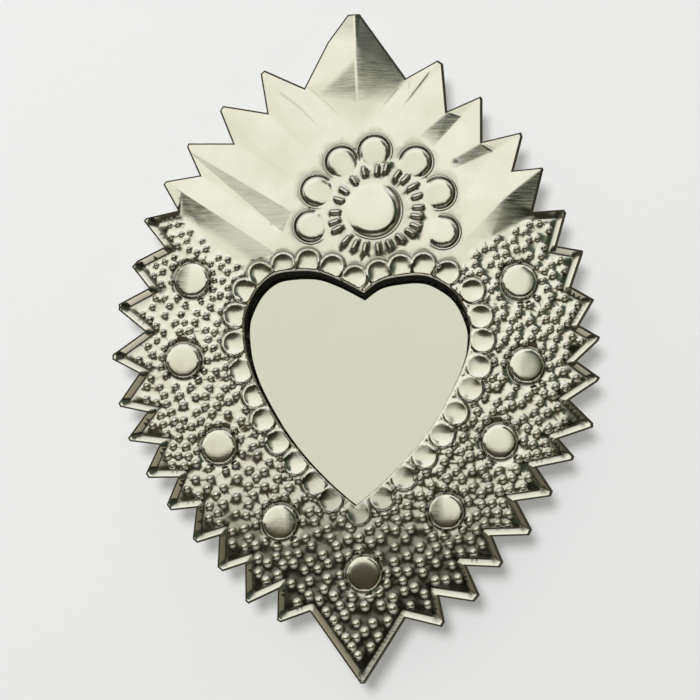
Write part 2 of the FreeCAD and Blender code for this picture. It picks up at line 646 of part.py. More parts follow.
def make_hanger_strap():
    """Strap bent over the ring's bar, with a flat foot above and below it."""
    bar = bar_centre()
    side = FreeCAD.Vector(-STRAP_WIDTH / 2, 0, 0)
    seat = FreeCAD.Vector(0, SHEET_BACK_Y, bar.z) + side
    inner_radius = RING_WIRE_RADIUS + STRAP_FIT_GAP
    outer_radius = inner_radius + STRAP_THICKNESS
    shells = []
    for radius in (outer_radius, inner_radius):
        bend = Part.makeCylinder(radius, STRAP_WIDTH, bar + side, FreeCAD.Vector(1, 0, 0))
        legs = Part.makeBox(STRAP_WIDTH, bar.y - SHEET_BACK_Y, 2 * radius, seat - UP * radius)
        shells.append([bend, legs])
    outer, inner = shells
    foot_reach = outer_radius + STRAP_FOOT_LENGTH
    feet = Part.makeBox(STRAP_WIDTH, STRAP_THICKNESS, 2 * foot_reach, seat - UP * foot_reach)
    inside_sheet = Part.makeBox(STRAP_WIDTH, outer_radius, 2 * foot_reach,
                                seat + TOWARDS_FRONT * outer_radius - UP * foot_reach)
    return feet.fuse(outer).cut(inner + [inside_sheet]).removeSplitter()


def make_strap_solder(strap):
    """One dab over the end of each foot of the strap."""
    reach = RING_WIRE_RADIUS + STRAP_FIT_GAP + STRAP_THICKNESS + STRAP_FOOT_LENGTH
    return [solder_dab(0, bar_centre().z + side * reach).cut(strap) for side in (-1, 1)]


def make_hanging_ring():
    """Wire D hanging from its straight bar."""
    bar = bar_centre()
    half = RING_BAR_LENGTH / 2
    bend = RING_BEND_RADIUS
    corner = bend * (1 - math.sqrt(2) / 2)
    bow_drop = RING_DROP - half

    def at(x, drop):
        return FreeCAD.Vector(x, bar.y, bar.z - drop)

    edges = [Part.makeLine(at(-half + bend, 0), at(half - bend, 0)),
             Part.Arc(at(half - bend, 0), at(half - corner, corner), at(half, bend)).toShape(),
             Part.makeLine(at(half, bend), at(half, bow_drop)),
             Part.Arc(at(half, bow_drop), at(0, bow_drop + half), at(-half, bow_drop)).toShape(),
             Part.makeLine(at(-half, bow_drop), at(-half, bend)),
             Part.Arc(at(-half, bend), at(-half + corner, corner), at(-half + bend, 0)).toShape()]
    path = Part.Wire(edges)
    section = Part.Wire([Part.makeCircle(RING_WIRE_RADIUS, edges[0].Vertexes[0].Point,
                                         FreeCAD.Vector(1, 0, 0))])
    return path.makePipeShell([section], True, False)


def main():
    os.makedirs("parts", exist_ok=True)
    tray = make_back_tray()
    strap = make_hanger_strap()
    nodes = {
        "front_sheet": make_front_sheet(),
        "spacer_board": make_spacer_board(),
        "mirror_glass": make_mirror_glass(),
        "packing_card": make_packing_card(),
        "back_tray": tray,
        "hanger_strap": strap,
        "hanging_ring": make_hanging_ring(),
    }
    for name, dabs in (("tray_solder", make_tray_solder(tray)),
                       ("strap_solder", make_strap_solder(strap))):
        for count, dab in enumerate(dabs, 1):
            nodes[f"{name}_{count}"] = dab
    for name, shape in nodes.items():
        box = shape.BoundBox
        print(name, "valid", shape.isValid(), "solids", len(shape.Solids),
              "volume", round(shape.Volume, 1),
              "x", round(box.XMin, 2), round(box.XMax, 2),
              "y", round(box.YMin, 2), round(box.YMax, 2),
              "z", round(box.ZMin, 2), round(box.ZMax, 2))
        shape.exportStep(f"parts/{name}.step")


main()
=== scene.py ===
import bpy
import math
import random
import numpy as np
from bpy.props import FloatProperty, FloatVectorProperty, IntProperty, PointerProperty
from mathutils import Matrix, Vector, geometry, noise
from types import SimpleNamespace


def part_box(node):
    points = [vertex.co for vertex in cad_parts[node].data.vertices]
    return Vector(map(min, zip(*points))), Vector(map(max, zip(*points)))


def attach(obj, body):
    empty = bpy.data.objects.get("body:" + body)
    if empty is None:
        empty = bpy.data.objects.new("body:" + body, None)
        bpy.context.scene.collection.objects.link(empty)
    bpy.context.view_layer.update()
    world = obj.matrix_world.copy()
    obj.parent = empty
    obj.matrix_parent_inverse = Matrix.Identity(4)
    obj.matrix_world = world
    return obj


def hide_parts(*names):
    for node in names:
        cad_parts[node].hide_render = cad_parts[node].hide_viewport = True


# Looks of a hand-embossed tin wall mirror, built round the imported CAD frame.
# +Z is up, the front faces -Y, and the wall is the plane y = 0.

bl_info = {
    "name": "Tin Heart Mirror",
    "version": (1, 0, 0),
    "blender": (4, 5, 0),
    "location": "3D View > Sidebar > Tin Mirror",
    "description": "Builds an embossed tin wall mirror with a heart-shaped opening",
    "category": "Add Mesh",
}

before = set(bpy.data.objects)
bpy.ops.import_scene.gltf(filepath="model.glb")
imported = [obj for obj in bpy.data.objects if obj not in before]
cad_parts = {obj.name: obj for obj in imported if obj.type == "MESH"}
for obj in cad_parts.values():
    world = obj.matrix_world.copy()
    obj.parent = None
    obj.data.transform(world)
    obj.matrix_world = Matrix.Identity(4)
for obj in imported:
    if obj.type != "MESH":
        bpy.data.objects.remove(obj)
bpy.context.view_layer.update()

MM = 0.001
UP = Vector((0, 0, 1))

# The sheet, in millimetres, as in the CAD: its front, back and height, the width of the teeth's
# folded strips, and how high their edges and the crown's highest fold are lifted
SHEET_FRONT_Y = -12.5
SHEET_BACK_Y = -12.0
SHEET_HEIGHT = 228.0
RIM_STRIP_WIDTH = 2.5
RIM_LIFT = 1.2
CROWN_LIFT = 2.4

# How high the strips' edges are lifted where they end under the crown, right and left; how much
# wider the dark sheared border is where it faces right, as painted shadow beside those edges; and
# the angle in degrees of a sharp edge
RIM_END_LIFTS = (0.2, 0.3)
BURR_RIGHT_SHADOW_EXTRA = 0.7
SHEET_SHARP_ANGLE = 75.0

# The tray: its cut corners as a share of the blank's width, its burr in millimetres, and the
# angles in degrees beyond which it is folded, is burred and is shaded sharp
TRAY_CORNER_SHARE = 0.34
TRAY_BURR = 0.08
TRAY_FOLD_ANGLE = 30.0
TRAY_BURR_ANGLE = 60.0
TRAY_SMOOTH_ANGLE = 40.0

# The photograph, in its own pixels: what it looks at, from where, and how far away
FRAME_SIDE_PIXELS = 700.0
FRAME_CENTRE_PIXEL = (350.0, 350.0)
VIEW_FOOT_PIXEL = (396.0, 490.0)
VIEW_DISTANCE_PIXELS = 1300.0
SHEET_TOP_PIXEL = (354.0, 14.0)
SHEET_BOTTOM_PIXEL = (362.7, 683.7)
MIRROR_CENTRE_PIXEL = (357.5, 388.5)

# Lower rim, clockwise from the right end of the crown: notches, and both corners of each tip
RIM_NOTCH_PIXELS = [
    (533.5, 211.0), (557.3, 245.9), (571.9, 286.8), (579.6, 325.2), (577.3, 361.2),
    (570.0, 400.0), (559.3, 438.9), (537.4, 467.6), (517.2, 501.3), (492.8, 536.5),
    (467.0, 566.2), (439.7, 596.6), (406.0, 618.5), (310.1, 612.0), (277.8, 590.1),
    (245.0, 564.0), (219.0, 536.2), (196.2, 507.8), (177.7, 477.7), (159.4, 444.8),
    (146.7, 412.4), (139.0, 373.5), (144.7, 331.4), (148.5, 288.0), (164.0, 247.0),
    (177.5, 210.0)]
RIM_TIP_PIXELS = [
    ((564.2, 209.5), (566.5, 213.0)), ((583.4, 250.5), (582.6, 255.0)),
    ((594.5, 299.5), (591.5, 304.9)), ((600.3, 337.0), (598.7, 341.0)),
    ((600.3, 377.5), (598.0, 381.5)), ((593.3, 423.0), (593.3, 427.4)),
    ((574.6, 456.5), (573.0, 460.4)), ((553.0, 491.0), (551.0, 496.5)),
    ((532.2, 529.6), (529.5, 535.4)), ((503.5, 562.2), (500.0, 567.6)),
    ((479.9, 595.1), (474.2, 602.0)), ((445.0, 622.0), (442.0, 627.2)),
    ((365.0, 683.7), (360.5, 683.7)), ((281.0, 622.5), (277.0, 620.5)),
    ((248.4, 603.9), (245.3, 601.2)), ((222.8, 571.5), (217.4, 567.2)),
    ((197.2, 543.1), (192.6, 538.9)), ((170.8, 510.6), (166.6, 504.8)),
    ((148.3, 478.1), (145.6, 473.5)), ((129.9, 441.3), (127.6, 438.3)),
    ((120.3, 407.0), (118.3, 403.5)), ((112.2, 359.5), (112.2, 354.7)),
    ((118.5, 310.0), (118.7, 304.0)), ((131.7, 266.6), (137.4, 260.5)),
    ((143.6, 221.0), (146.2, 218.0))]

# Crown edge, clockwise from the left: name, pixel, and lift as a share of the crown's lift
CROWN_EDGE_PIXELS_AND_SHARES = [
    ("tip_l4_low", (163.3, 184.6), 0.30), ("tip_l4", (165.7, 181.2), 0.30),
    ("notch_l4", (199.5, 175.3), 0.00),
    ("tip_l3_low", (186.9, 147.0), 0.15), ("tip_l3", (188.4, 143.3), 0.15),
    ("notch_l3", (232.8, 143.3), 0.10),
    ("tip_l2_low", (219.8, 111.0), 0.30), ("tip_l2", (223.0, 105.8), 0.30),
    ("notch_l2", (267.0, 112.8), 0.10),
    ("tip_l1_low", (260.5, 74.0), 0.35), ("tip_l1", (264.6, 70.3), 0.35),
    ("notch_l1", (304.4, 87.8), 0.00),
    ("side_top", (327.5, 42.5), 0.30),
    ("top_left", (347.7, 14.8), 0.75), ("top_ridge", (354.0, 14.0), 1.00),
    ("top_right", (359.7, 13.9), 0.75),
    ("notch_r1", (406.0, 78.0), 0.00),
    ("tip_r1", (437.8, 60.1), 0.25), ("tip_r1_low", (443.2, 63.8), 0.20),
    ("notch_r2", (447.4, 111.0), 0.12),
    ("tip_r2", (480.7, 96.2), 0.12), ("tip_r2_low", (482.6, 98.9), 0.12),
    ("notch_r3", (482.6, 141.5), 0.12),
    ("tip_r3", (521.4, 132.2), 0.15), ("tip_r3_low", (522.7, 136.9), 0.15),
    ("notch_r4", (514.0, 170.3), 0.30),
    ("tip_r4", (542.7, 167.4), 0.60), ("tip_r4_low", (543.6, 169.2), 0.60)]

# Folds inside the crown, which rise from the flat field: the same three columns
CROWN_FOLD_PIXELS_AND_SHARES = [
    ("top_fold", (355.2, 56.0), 0.97), ("bend_a", (355.8, 77.0), 0.78),
    ("bend_b", (356.8, 90.5), 0.50), ("bend_c", (358.0, 103.0), 0.25),
    ("valley_r2", (460.4, 115.5), 0.00), ("valley_r3", (492.5, 151.4), 0.00),
    ("ridge_r4", (506.0, 197.0), 0.48), ("bend_l4", (181.0, 192.0), 0.32),
    ("ridge_l4", (203.3, 206.8), 0.38), ("low_l4", (238.0, 229.0), 0.22)]

# Where the folds die out in the flat field, from the left to the right
FIELD_EDGE_PIXELS = [
    ("field_l6", (209.0, 239.0)), ("field_l5", (241.0, 263.0)), ("field_l4", (272.0, 255.0)),
    ("field_l34", (282.0, 232.0)), ("field_l3", (289.0, 210.0)), ("field_l23", (292.0, 178.0)),
    ("field_l2", (306.0, 150.0)), ("field_l1", (330.0, 128.0)), ("field_top", (359.5, 121.0)),
    ("field_r1", (380.0, 111.0)), ("field_r12", (401.0, 109.0)), ("field_r2", (418.0, 137.0)),
    ("field_r23", (437.0, 140.0)), ("field_r3", (451.0, 160.5)), ("field_r34", (459.0, 165.0)),
    ("field_r45", (462.0, 200.0)), ("field_r4", (465.0, 240.0)), ("field_r5", (490.0, 238.0)),
    ("field_r6", (515.0, 222.0))]

# The crown's facets, by the names of their corners; rim_left and rim_right end the lower rim
CROWN_FACETS = [
    ("rim_left", "bend_l4", "tip_l4_low"), ("rim_left", "crease_left", "bend_l4"),
    ("crease_left", "field_l6", "bend_l4"), ("bend_l4", "field_l6", "ridge_l4"),
    ("tip_l4_low", "bend_l4", "tip_l4"), ("field_l6", "low_l4", "ridge_l4"),
    ("field_l6", "field_l5", "low_l4"), ("field_l5", "field_l4", "low_l4"),
    ("tip_l4", "bend_l4", "ridge_l4"), ("tip_l4", "ridge_l4", "notch_l4"),
    ("low_l4", "field_l4", "field_l34"), ("ridge_l4", "low_l4", "field_l34"),
    ("ridge_l4", "field_l34", "notch_l4"), ("notch_l4", "field_l34", "field_l3"),
    ("notch_l4", "field_l3", "tip_l3_low"), ("tip_l3_low", "field_l3", "tip_l3"),
    ("tip_l3", "field_l3", "notch_l3"), ("notch_l3", "field_l3", "field_l23"),
    ("notch_l3", "field_l23", "tip_l2_low"), ("tip_l2_low", "field_l23", "tip_l2"),
    ("tip_l2", "field_l23", "field_l2"), ("tip_l2", "field_l2", "notch_l2"),
    ("notch_l2", "field_l2", "tip_l1_low"), ("tip_l1_low", "field_l2", "tip_l1"),
    ("tip_l1", "field_l2", "field_l1"), ("tip_l1", "field_l1", "notch_l1"),
    ("notch_l1", "field_l1", "field_top"), ("notch_l1", "field_top", "bend_c"),
    ("notch_l1", "bend_c", "bend_b"), ("notch_l1", "bend_b", "bend_a"),
    ("notch_l1", "bend_a", "side_top"),
    ("side_top", "bend_a", "top_fold"), ("side_top", "top_fold", "top_left"),
    ("top_left", "top_fold", "top_ridge"), ("top_ridge", "top_fold", "top_right"),
    ("top_right", "top_fold", "notch_r1"), ("top_fold", "bend_a", "notch_r1"),
    ("bend_a", "bend_b", "notch_r1"), ("bend_b", "bend_c", "notch_r1"),
    ("bend_c", "field_top", "notch_r1"),
    ("notch_r1", "field_top", "field_r1"), ("notch_r1", "field_r1", "field_r12"),
    ("notch_r1", "field_r12", "tip_r1"), ("tip_r1", "field_r12", "tip_r1_low"),
    ("tip_r1_low", "field_r12", "field_r2"), ("tip_r1_low", "field_r2", "notch_r2"),
    ("notch_r2", "field_r2", "field_r23"), ("notch_r2", "field_r23", "valley_r2"),
    ("notch_r2", "valley_r2", "tip_r2"), ("tip_r2", "valley_r2", "tip_r2_low"),
    ("tip_r2_low", "valley_r2", "notch_r3"), ("valley_r2", "field_r23", "field_r3"),
    ("valley_r2", "field_r3", "notch_r3"), ("notch_r3", "field_r3", "field_r34"),
    ("notch_r3", "field_r34", "valley_r3"), ("notch_r3", "valley_r3", "tip_r3"),
    ("tip_r3", "valley_r3", "tip_r3_low"), ("tip_r3_low", "valley_r3", "notch_r4"),
    ("valley_r3", "field_r34", "field_r45"), ("valley_r3", "field_r45", "ridge_r4"),
    ("valley_r3", "ridge_r4", "notch_r4"), ("notch_r4", "ridge_r4", "tip_r4"),
    ("tip_r4", "ridge_r4", "tip_r4_low"), ("ridge_r4", "field_r45", "field_r4"),
    ("ridge_r4", "field_r4", "field_r5"), ("ridge_r4", "field_r5", "field_r6"),
    ("ridge_r4", "field_r6", "crease_right"), ("tip_r4_low", "ridge_r4", "rim_right"),
    ("rim_right", "ridge_r4", "crease_right")]

# Pleats hammered into the crown: the line, the side that falls (1 for its left, -1 for its
# right), and in millimetres the fall's width and depth at the line's start and end, how far
# it takes to level out again, where it begins along the line, how much later it begins per
# millimetre across, and over how far it fades in and out; and its painted shade along the line, 0
# to 1
PLEATS = [
    dict(line=[(459.5, 107.0), (449.0, 114.6), (418.0, 137.0)], side=1, widths=(3.5, 5.6),
         drops=(0.16, 0.2), level=8.0, begin=4.4, skew=-1.0, fades=(2.0, 7.0), painted_shade=0.0),
    dict(line=[(491.7, 138.0), (481.0, 143.9), (451.2, 160.5)], side=1, widths=(3.5, 5.3),
         drops=(0.16, 0.2), level=8.0, begin=4.1, skew=-1.0, fades=(2.0, 7.0), painted_shade=0.0),
    dict(line=[(430.5, 70.4), (419.0, 85.3), (409.8, 97.4), (401.0, 109.0)], side=1,
         widths=(0.4, 0.3), drops=(0.11, 0.04), level=3.0, begin=0.0, skew=0.0,
         fades=(2.0, 6.0), painted_shade=0.45),
    dict(line=[(398.4, 87.0), (387.0, 101.0), (381.0, 107.7)], side=1, widths=(0.4, 0.3),
         drops=(0.06, 0.04), level=2.0, begin=0.0, skew=0.0, fades=(1.0, 3.0), painted_shade=0.2),
    dict(line=[(409.3, 79.0), (408.7, 92.8)], side=1, widths=(0.4, 0.3), drops=(0.06, 0.03),
         level=2.0, begin=0.0, skew=0.0, fades=(1.0, 2.0), painted_shade=0.15),
    dict(line=[(278.6, 91.6), (299.2, 107.0), (319.9, 127.7)], side=-1, widths=(0.5, 0.4),
         drops=(0.09, 0.05), level=3.0, begin=0.0, skew=0.0, fades=(2.0, 5.0), painted_shade=0.15),
    dict(line=[(310.7, 88.7), (330.0, 106.0), (341.0, 118.0)], side=-1, widths=(0.4, 0.4),
         drops=(0.06, 0.04), level=2.0, begin=0.0, skew=0.0, fades=(2.0, 4.0), painted_shade=0.1),
    dict(line=[(205.0, 160.7), (248.7, 186.5), (291.0, 211.5)], side=-1, widths=(1.8, 7.4),
         drops=(0.10, 0.40), level=9.0, begin=0.0, skew=1.6, fades=(4.0, 2.0), painted_shade=0.0),
    dict(line=[(261.0, 155.0), (296.0, 180.0)], side=-1, widths=(4.0, 6.0),
         drops=(0.15, 0.2), level=8.0, begin=0.0, skew=0.0, fades=(5.0, 3.0), painted_shade=0.0)]

# Soft bends of the crown: the middle, how far the softness reaches in millimetres, the
# direction along which the facets are blended, and over how many millimetres
SOFT_BENDS = [
    ((360.0, 84.0), 20.0, (0.0, 1.0), 4.0),
    ((220.0, 220.0), 14.0, (0.82, -0.57), 4.0),
    ((500.0, 205.0), 12.0, (0.778, 0.628), 3.0)]

# How far out a bend is fully soft, as a share of its reach; how near the sheet's edge the facets
# are blended, as a share of the distance to it; and how many places are blended
SOFT_CORE_SHARE = 0.4
SOFT_EDGE_SHARE = 0.8
SOFT_PLACES = 7

# Dark patches of the tin, painted as the dark reflections and shade on facets, strips and bosses,
# where the tin is also made rougher as if brushed: strength, lift in millimetres, and the edges
# whose right side they lie on, each with the millimetres over which the patch fades across the edge
SHADED_PATCHES = [
    (0.62, 2.0, [((358.9, 103.0), (356.3, 56.0), 0.3), ((355.0, 47.0), (402.0, 70.0), 4.0),
                 ((406.0, 77.0), (382.0, 106.0), 2.0), ((404.0, 91.0), (356.0, 86.0), 9.0)]),
    (0.58, 2.2, [((356.3, 56.0), (354.9, 14.0), 0.3), ((402.0, 74.0), (355.0, 51.0), 4.0),
                 ((359.7, 13.9), (406.5, 79.0), 0.3)]),
    (0.42, 1.8, [((355.5, 95.0), (325.0, 91.0), 4.0), ((324.0, 90.0), (354.0, 62.0), 2.0),
                 ((354.2, 62.0), (355.6, 95.0), 0.3)]),
    (0.22, 1.8, [((352.0, 36.0), (338.0, 34.0), 5.0), ((353.0, 14.0), (354.0, 40.0), 0.3)]),
    (0.64, 0.2, [((447.5, 112.5), (461.0, 116.5), 0.4), ((461.0, 116.0), (440.0, 139.0), 0.4),
                 ((444.0, 145.0), (420.0, 125.0), 6.5), ((418.5, 137.0), (448.0, 112.5), 0.8)]),
    (0.90, 0.2, [((447.5, 112.3), (461.5, 116.3), 0.3), ((461.2, 116.0), (458.5, 119.0), 0.3),
                 ((460.0, 118.3), (446.0, 114.3), 0.6), ((447.0, 116.0), (449.5, 112.5), 0.5)]),
    (0.60, 0.2, [((480.0, 143.5), (493.0, 151.0), 0.4), ((493.0, 150.5), (460.0, 165.5), 0.8),
                 ((461.0, 172.0), (449.0, 152.0), 5.0), ((451.0, 161.0), (481.0, 143.5), 0.8)]),
    (0.90, 0.2, [((481.5, 143.8), (493.0, 150.6), 0.3), ((493.0, 150.5), (490.5, 153.5), 0.3),
                 ((491.8, 152.8), (481.5, 146.6), 0.6), ((481.0, 147.0), (483.5, 144.0), 0.5)]),
    (0.80, 0.2, [((452.0, 158.5), (461.0, 158.5), 1.2), ((459.5, 157.0), (459.5, 165.0), 1.2),
                 ((461.0, 163.5), (452.0, 163.5), 1.2), ((452.8, 165.0), (452.8, 157.0), 1.2)]),
    (0.78, 1.2, [((465.0, 240.0), (506.0, 197.0), 0.8), ((506.0, 197.0), (543.0, 168.0), 0.8),
                 ((535.0, 212.0), (490.0, 240.0), 1.0), ((520.0, 242.0), (488.0, 202.0), 13.0)]),
    (0.28, 0.2, [((205.0, 160.7), (291.0, 211.5), 0.3), ((291.0, 211.5), (282.5, 232.2), 0.6),
                 ((282.5, 232.2), (208.0, 168.5), 0.3)]),
    (0.66, 0.8, [((181.0, 191.8), (272.0, 250.5), 0.3), ((183.0, 213.0), (181.2, 192.0), 0.6),
                 ((250.0, 259.0), (182.6, 211.5), 2.5), ((234.0, 200.0), (204.0, 244.0), 16.0)]),
    (0.22, 0.4, [((181.0, 191.8), (272.0, 250.5), 0.3), ((272.0, 250.0), (262.0, 262.0), 1.5),
                 ((250.0, 259.0), (182.6, 211.5), 2.5), ((183.0, 213.0), (181.2, 192.0), 0.6)]),
    (0.58, 0.5, [((400.0, 611.5), (406.5, 619.0), 0.3), ((406.0, 618.5), (365.0, 683.7), 0.3),
                 ((360.0, 680.0), (359.5, 671.5), 0.3), ((358.5, 673.0), (401.0, 606.5), 0.3)]),
    (0.60, 0.5, [((533.5, 210.5), (565.0, 209.0), 0.3), ((560.0, 217.8), (534.0, 218.8), 0.6),
                 ((534.0, 219.0), (533.5, 210.5), 0.3), ((566.0, 209.0), (561.0, 218.0), 0.3)]),
    (0.75, 1.9, [((183.0, 297.0), (175.4, 285.0), 0.5), ((175.4, 287.0), (176.6, 272.0), 0.5),
                 ((176.4, 274.0), (186.0, 264.2), 0.5), ((186.0, 264.0), (182.0, 296.0), 4.0)]),
    (0.60, 1.9, [((442.0, 527.5), (430.6, 516.5), 0.5), ((430.2, 520.0), (431.2, 504.0), 0.5),
                 ((430.8, 506.5), (440.0, 496.0), 0.5), ((440.5, 494.0), (440.5, 528.0), 3.0)]),
    (0.65, 1.9, [((285.0, 506.0), (294.2, 515.0), 0.5), ((294.6, 513.0), (294.6, 529.0), 0.5),
                 ((294.8, 528.0), (286.0, 537.8), 0.5), ((289.5, 538.0), (286.5, 506.0), 2.0)])]

# The top ray's ridge, which is pressed flat along its top
RIDGE_PIXELS = [(354.0, 14.0), (355.2, 56.0), (355.8, 77.0), (356.8, 90.5), (358.0, 103.0)]

# Heart opening: each side from the dip between the lobes round to the point
HEART_RIGHT_PIXELS = [
    (363.7, 292.7), (381.3, 280.6), (405.4, 275.7), (425.9, 275.7), (443.8, 283.8),
    (457.1, 295.4), (466.5, 313.2), (470.5, 331.0), (466.0, 358.8), (447.3, 400.0),
    (428.6, 430.4), (407.0, 457.0), (381.3, 483.5), (355.4, 505.9)]
HEART_LEFT_PIXELS = [
    (363.7, 292.7), (340.5, 280.6), (318.2, 272.1), (297.7, 270.8), (274.5, 274.4),
    (258.4, 287.3), (248.1, 306.0), (244.1, 323.0), (246.8, 353.4), (255.3, 380.0),
    (269.6, 408.0), (285.7, 433.9), (305.4, 458.9), (326.8, 481.3), (344.6, 497.3),
    (355.4, 505.9)]

# Centres of the relief, and how the bosses lean: their slope to the right and upwards
BOSS_PIXELS = [
    (192.6, 280.7), (183.9, 361.2), (219.5, 447.0), (280.1, 522.2), (364.1, 573.7),
    (446.3, 511.7), (499.7, 442.0), (526.5, 366.0), (519.3, 282.0)]
BOSS_LEANS = [(-0.04, 0.0), (0.0, 0.0), (0.0, 0.0), (0.03, 0.01), (0.0, -0.055),
              (-0.03, 0.01), (0.01, 0.0), (0.045, 0.0), (0.01, 0.0)]
FLOWER_CENTRE_PIXEL = (373.0, 210.0)

# Centres of the petals, of the marks round the flower's middle and of the heart's scallops
PETAL_PIXELS = [
    (310.7, 226.5), (317.0, 191.0), (341.6, 162.0), (374.5, 151.0), (415.8, 162.0),
    (439.0, 193.0), (443.0, 232.0)]
DASH_PIXELS = [
    (377.0, 170.0), (386.0, 168.0), (397.0, 175.0), (405.0, 179.0), (412.0, 187.0),
    (417.0, 196.0), (418.0, 207.0), (416.0, 216.0), (415.0, 226.0), (410.0, 232.0),
    (400.0, 238.0), (389.0, 245.0), (378.0, 248.0), (365.0, 248.0), (355.0, 245.0),
    (346.0, 240.0), (337.0, 229.0), (334.0, 222.0), (335.0, 212.0), (339.0, 200.0),
    (344.0, 191.0), (354.0, 181.0), (364.0, 172.0)]
CUP_PIXELS = [
    (260.0, 274.0), (244.4, 290.7), (235.2, 315.7), (234.3, 343.4), (240.7, 371.0),
    (254.6, 396.0), (263.0, 420.0), (277.7, 442.3), (295.3, 462.7), (313.8, 483.0),
    (330.4, 499.7), (358.2, 512.6), (381.8, 497.8), (404.0, 477.5), (424.3, 456.2),
    (442.0, 435.0), (455.8, 412.8), (470.6, 388.7), (479.0, 366.5), (482.6, 340.6),
    (480.7, 316.6), (472.4, 290.7), (447.4, 273.0), (423.4, 264.8), (400.3, 266.6),
    (378.5, 272.2), (354.8, 277.7), (332.3, 266.6), (308.2, 261.0), (283.3, 264.8)]

# The same scallops in the solid model, where they stay clear of the heart's edge
SOLID_CUP_PIXELS = [
    (256.0, 270.0), (242.0, 290.7), (235.2, 315.7), (234.3, 343.4), (240.7, 371.0),
    (252.0, 396.0), (263.0, 420.0), (277.7, 442.3), (295.3, 462.7), (313.8, 483.0),
    (330.4, 499.7), (358.2, 515.6), (381.8, 499.8), (404.0, 479.5), (424.3, 458.2),
    (442.0, 436.0), (457.8, 412.8), (472.6, 388.7), (481.0, 366.5), (484.6, 340.6),
    (482.7, 316.6), (474.4, 290.7), (449.4, 271.0), (423.4, 262.8), (400.3, 263.6),
    (378.5, 268.2), (354.8, 273.7), (332.3, 262.6), (308.2, 258.0), (283.3, 260.8)]

# Upper limit of the pebbled field, from the left to the right
PEBBLE_LIMIT_PIXELS = [
    (209.0, 239.0), (241.0, 263.0), (460.0, 262.0), (490.0, 238.0), (515.0, 222.0)]

# What the tin reflects, by degrees above the horizon
ROOM_BY_HEIGHT = [
    (-90, (0.10, 0.09, 0.065)), (-54, (0.08, 0.07, 0.05)), (-42, (0.05, 0.043, 0.03)),
    (-26, (0.03, 0.026, 0.017)), (-14, (0.06, 0.053, 0.036)), (-8, (0.10, 0.09, 0.065)),
    (-5, (0.19, 0.175, 0.13)), (-2.5, (0.55, 0.535, 0.44)), (-1.2, (0.80, 0.79, 0.67)),
    (0, (0.84, 0.84, 0.715)), (10, (0.87, 0.87, 0.745)), (15, (0.94, 0.94, 0.83)),
    (30, (1.0, 1.0, 0.93)), (90, (1.0, 1.0, 0.95))]

# How much of that is left at the sides, by degrees to the right of straight ahead
ROOM_BY_TURN = [
    (-180, (0.10, 0.09, 0.07)), (-100, (0.10, 0.09, 0.07)), (-86, (0.95, 0.95, 0.90)),
    (-60, (0.95, 0.95, 0.90)), (-52, (0.10, 0.09, 0.065)), (-38, (0.14, 0.125, 0.09)),
    (-25, (1.0, 1.0, 1.0)), (9, (1.0, 1.0, 1.0)), (13, (0.45, 0.46, 0.43)),
    (20, (0.11, 0.125, 0.10)),
    (32, (0.035, 0.055, 0.044)), (54, (0.06, 0.075, 0.06)), (68, (0.20, 0.19, 0.15)),
    (84, (0.07, 0.09, 0.07)), (180, (0.10, 0.09, 0.07))]

# Broad shapes in the room, as sides and heights in degrees, and colour: dark ones low down in
# the middle and high on the right, dim ones far down and on both sides, a pale one on the left
# and a grey one high on the far right
ROOM_SHAPES = [
    ((-5.5, 1.5), (-42, -1.2), (0.06, 0.048, 0.03)),
    ((-14, 17), (-42, -3.4), (0.05, 0.042, 0.027)),
    ((9.5, 30), (14.5, 28), (0.05, 0.068, 0.058)),
    ((36, 84), (-72, -19), (0.34, 0.31, 0.22)),
    ((52, 84), (-19, 0), (0.19, 0.175, 0.13)),
    ((-64, -8), (-86, -42), (0.44, 0.42, 0.34)),
    ((-12, 46), (-62, -43), (0.72, 0.69, 0.58)),
    ((-76, -44), (-38, -8), (0.16, 0.145, 0.11)),
    ((-80, -22), (7, 62), (0.98, 0.98, 0.88)),
    ((42, 85), (17, 42), (0.34, 0.315, 0.23))]

# How square the corners of those shapes are, how soft their edges are, and between which
# heights in degrees the room becomes the same all round
SHAPE_POWER = 16.0
SHAPE_EDGE = (0.35, 1.0)
EVEN_ABOVE = (28, 44)

# Wall, floor and lamp, in millimetres and watts, and the linear colour in which the wall glows
WALL_GAP = 0.3
WALL_HALF_WIDTH = 1600.0
FLOOR_DROP = 1500.0
FLOOR_DEPTH = 800.0
LAMP_PLACE = (-300.0, -1500.0, 420.0)
LAMP_WIDTH = 500.0
LAMP_POWER = 24.0
GLOW_COLOUR = (0.98, 0.99, 1.0)

# Surroundings as seen from behind, through the wall: what the back reflects low down and high
# up, between which shares of the way from straight down to straight up; and the backdrop, and
# between which shares of the way forwards it takes over
BEHIND_LOW_COLOUR = (0.13, 0.125, 0.11)
BEHIND_HIGH_COLOUR = (0.95, 0.95, 0.92)
BEHIND_SHARES = (0.2, 0.62)
BACKDROP_COLOUR = (0.72, 0.72, 0.71)
BACKDROP_SHARES = (-0.3, 0.0)

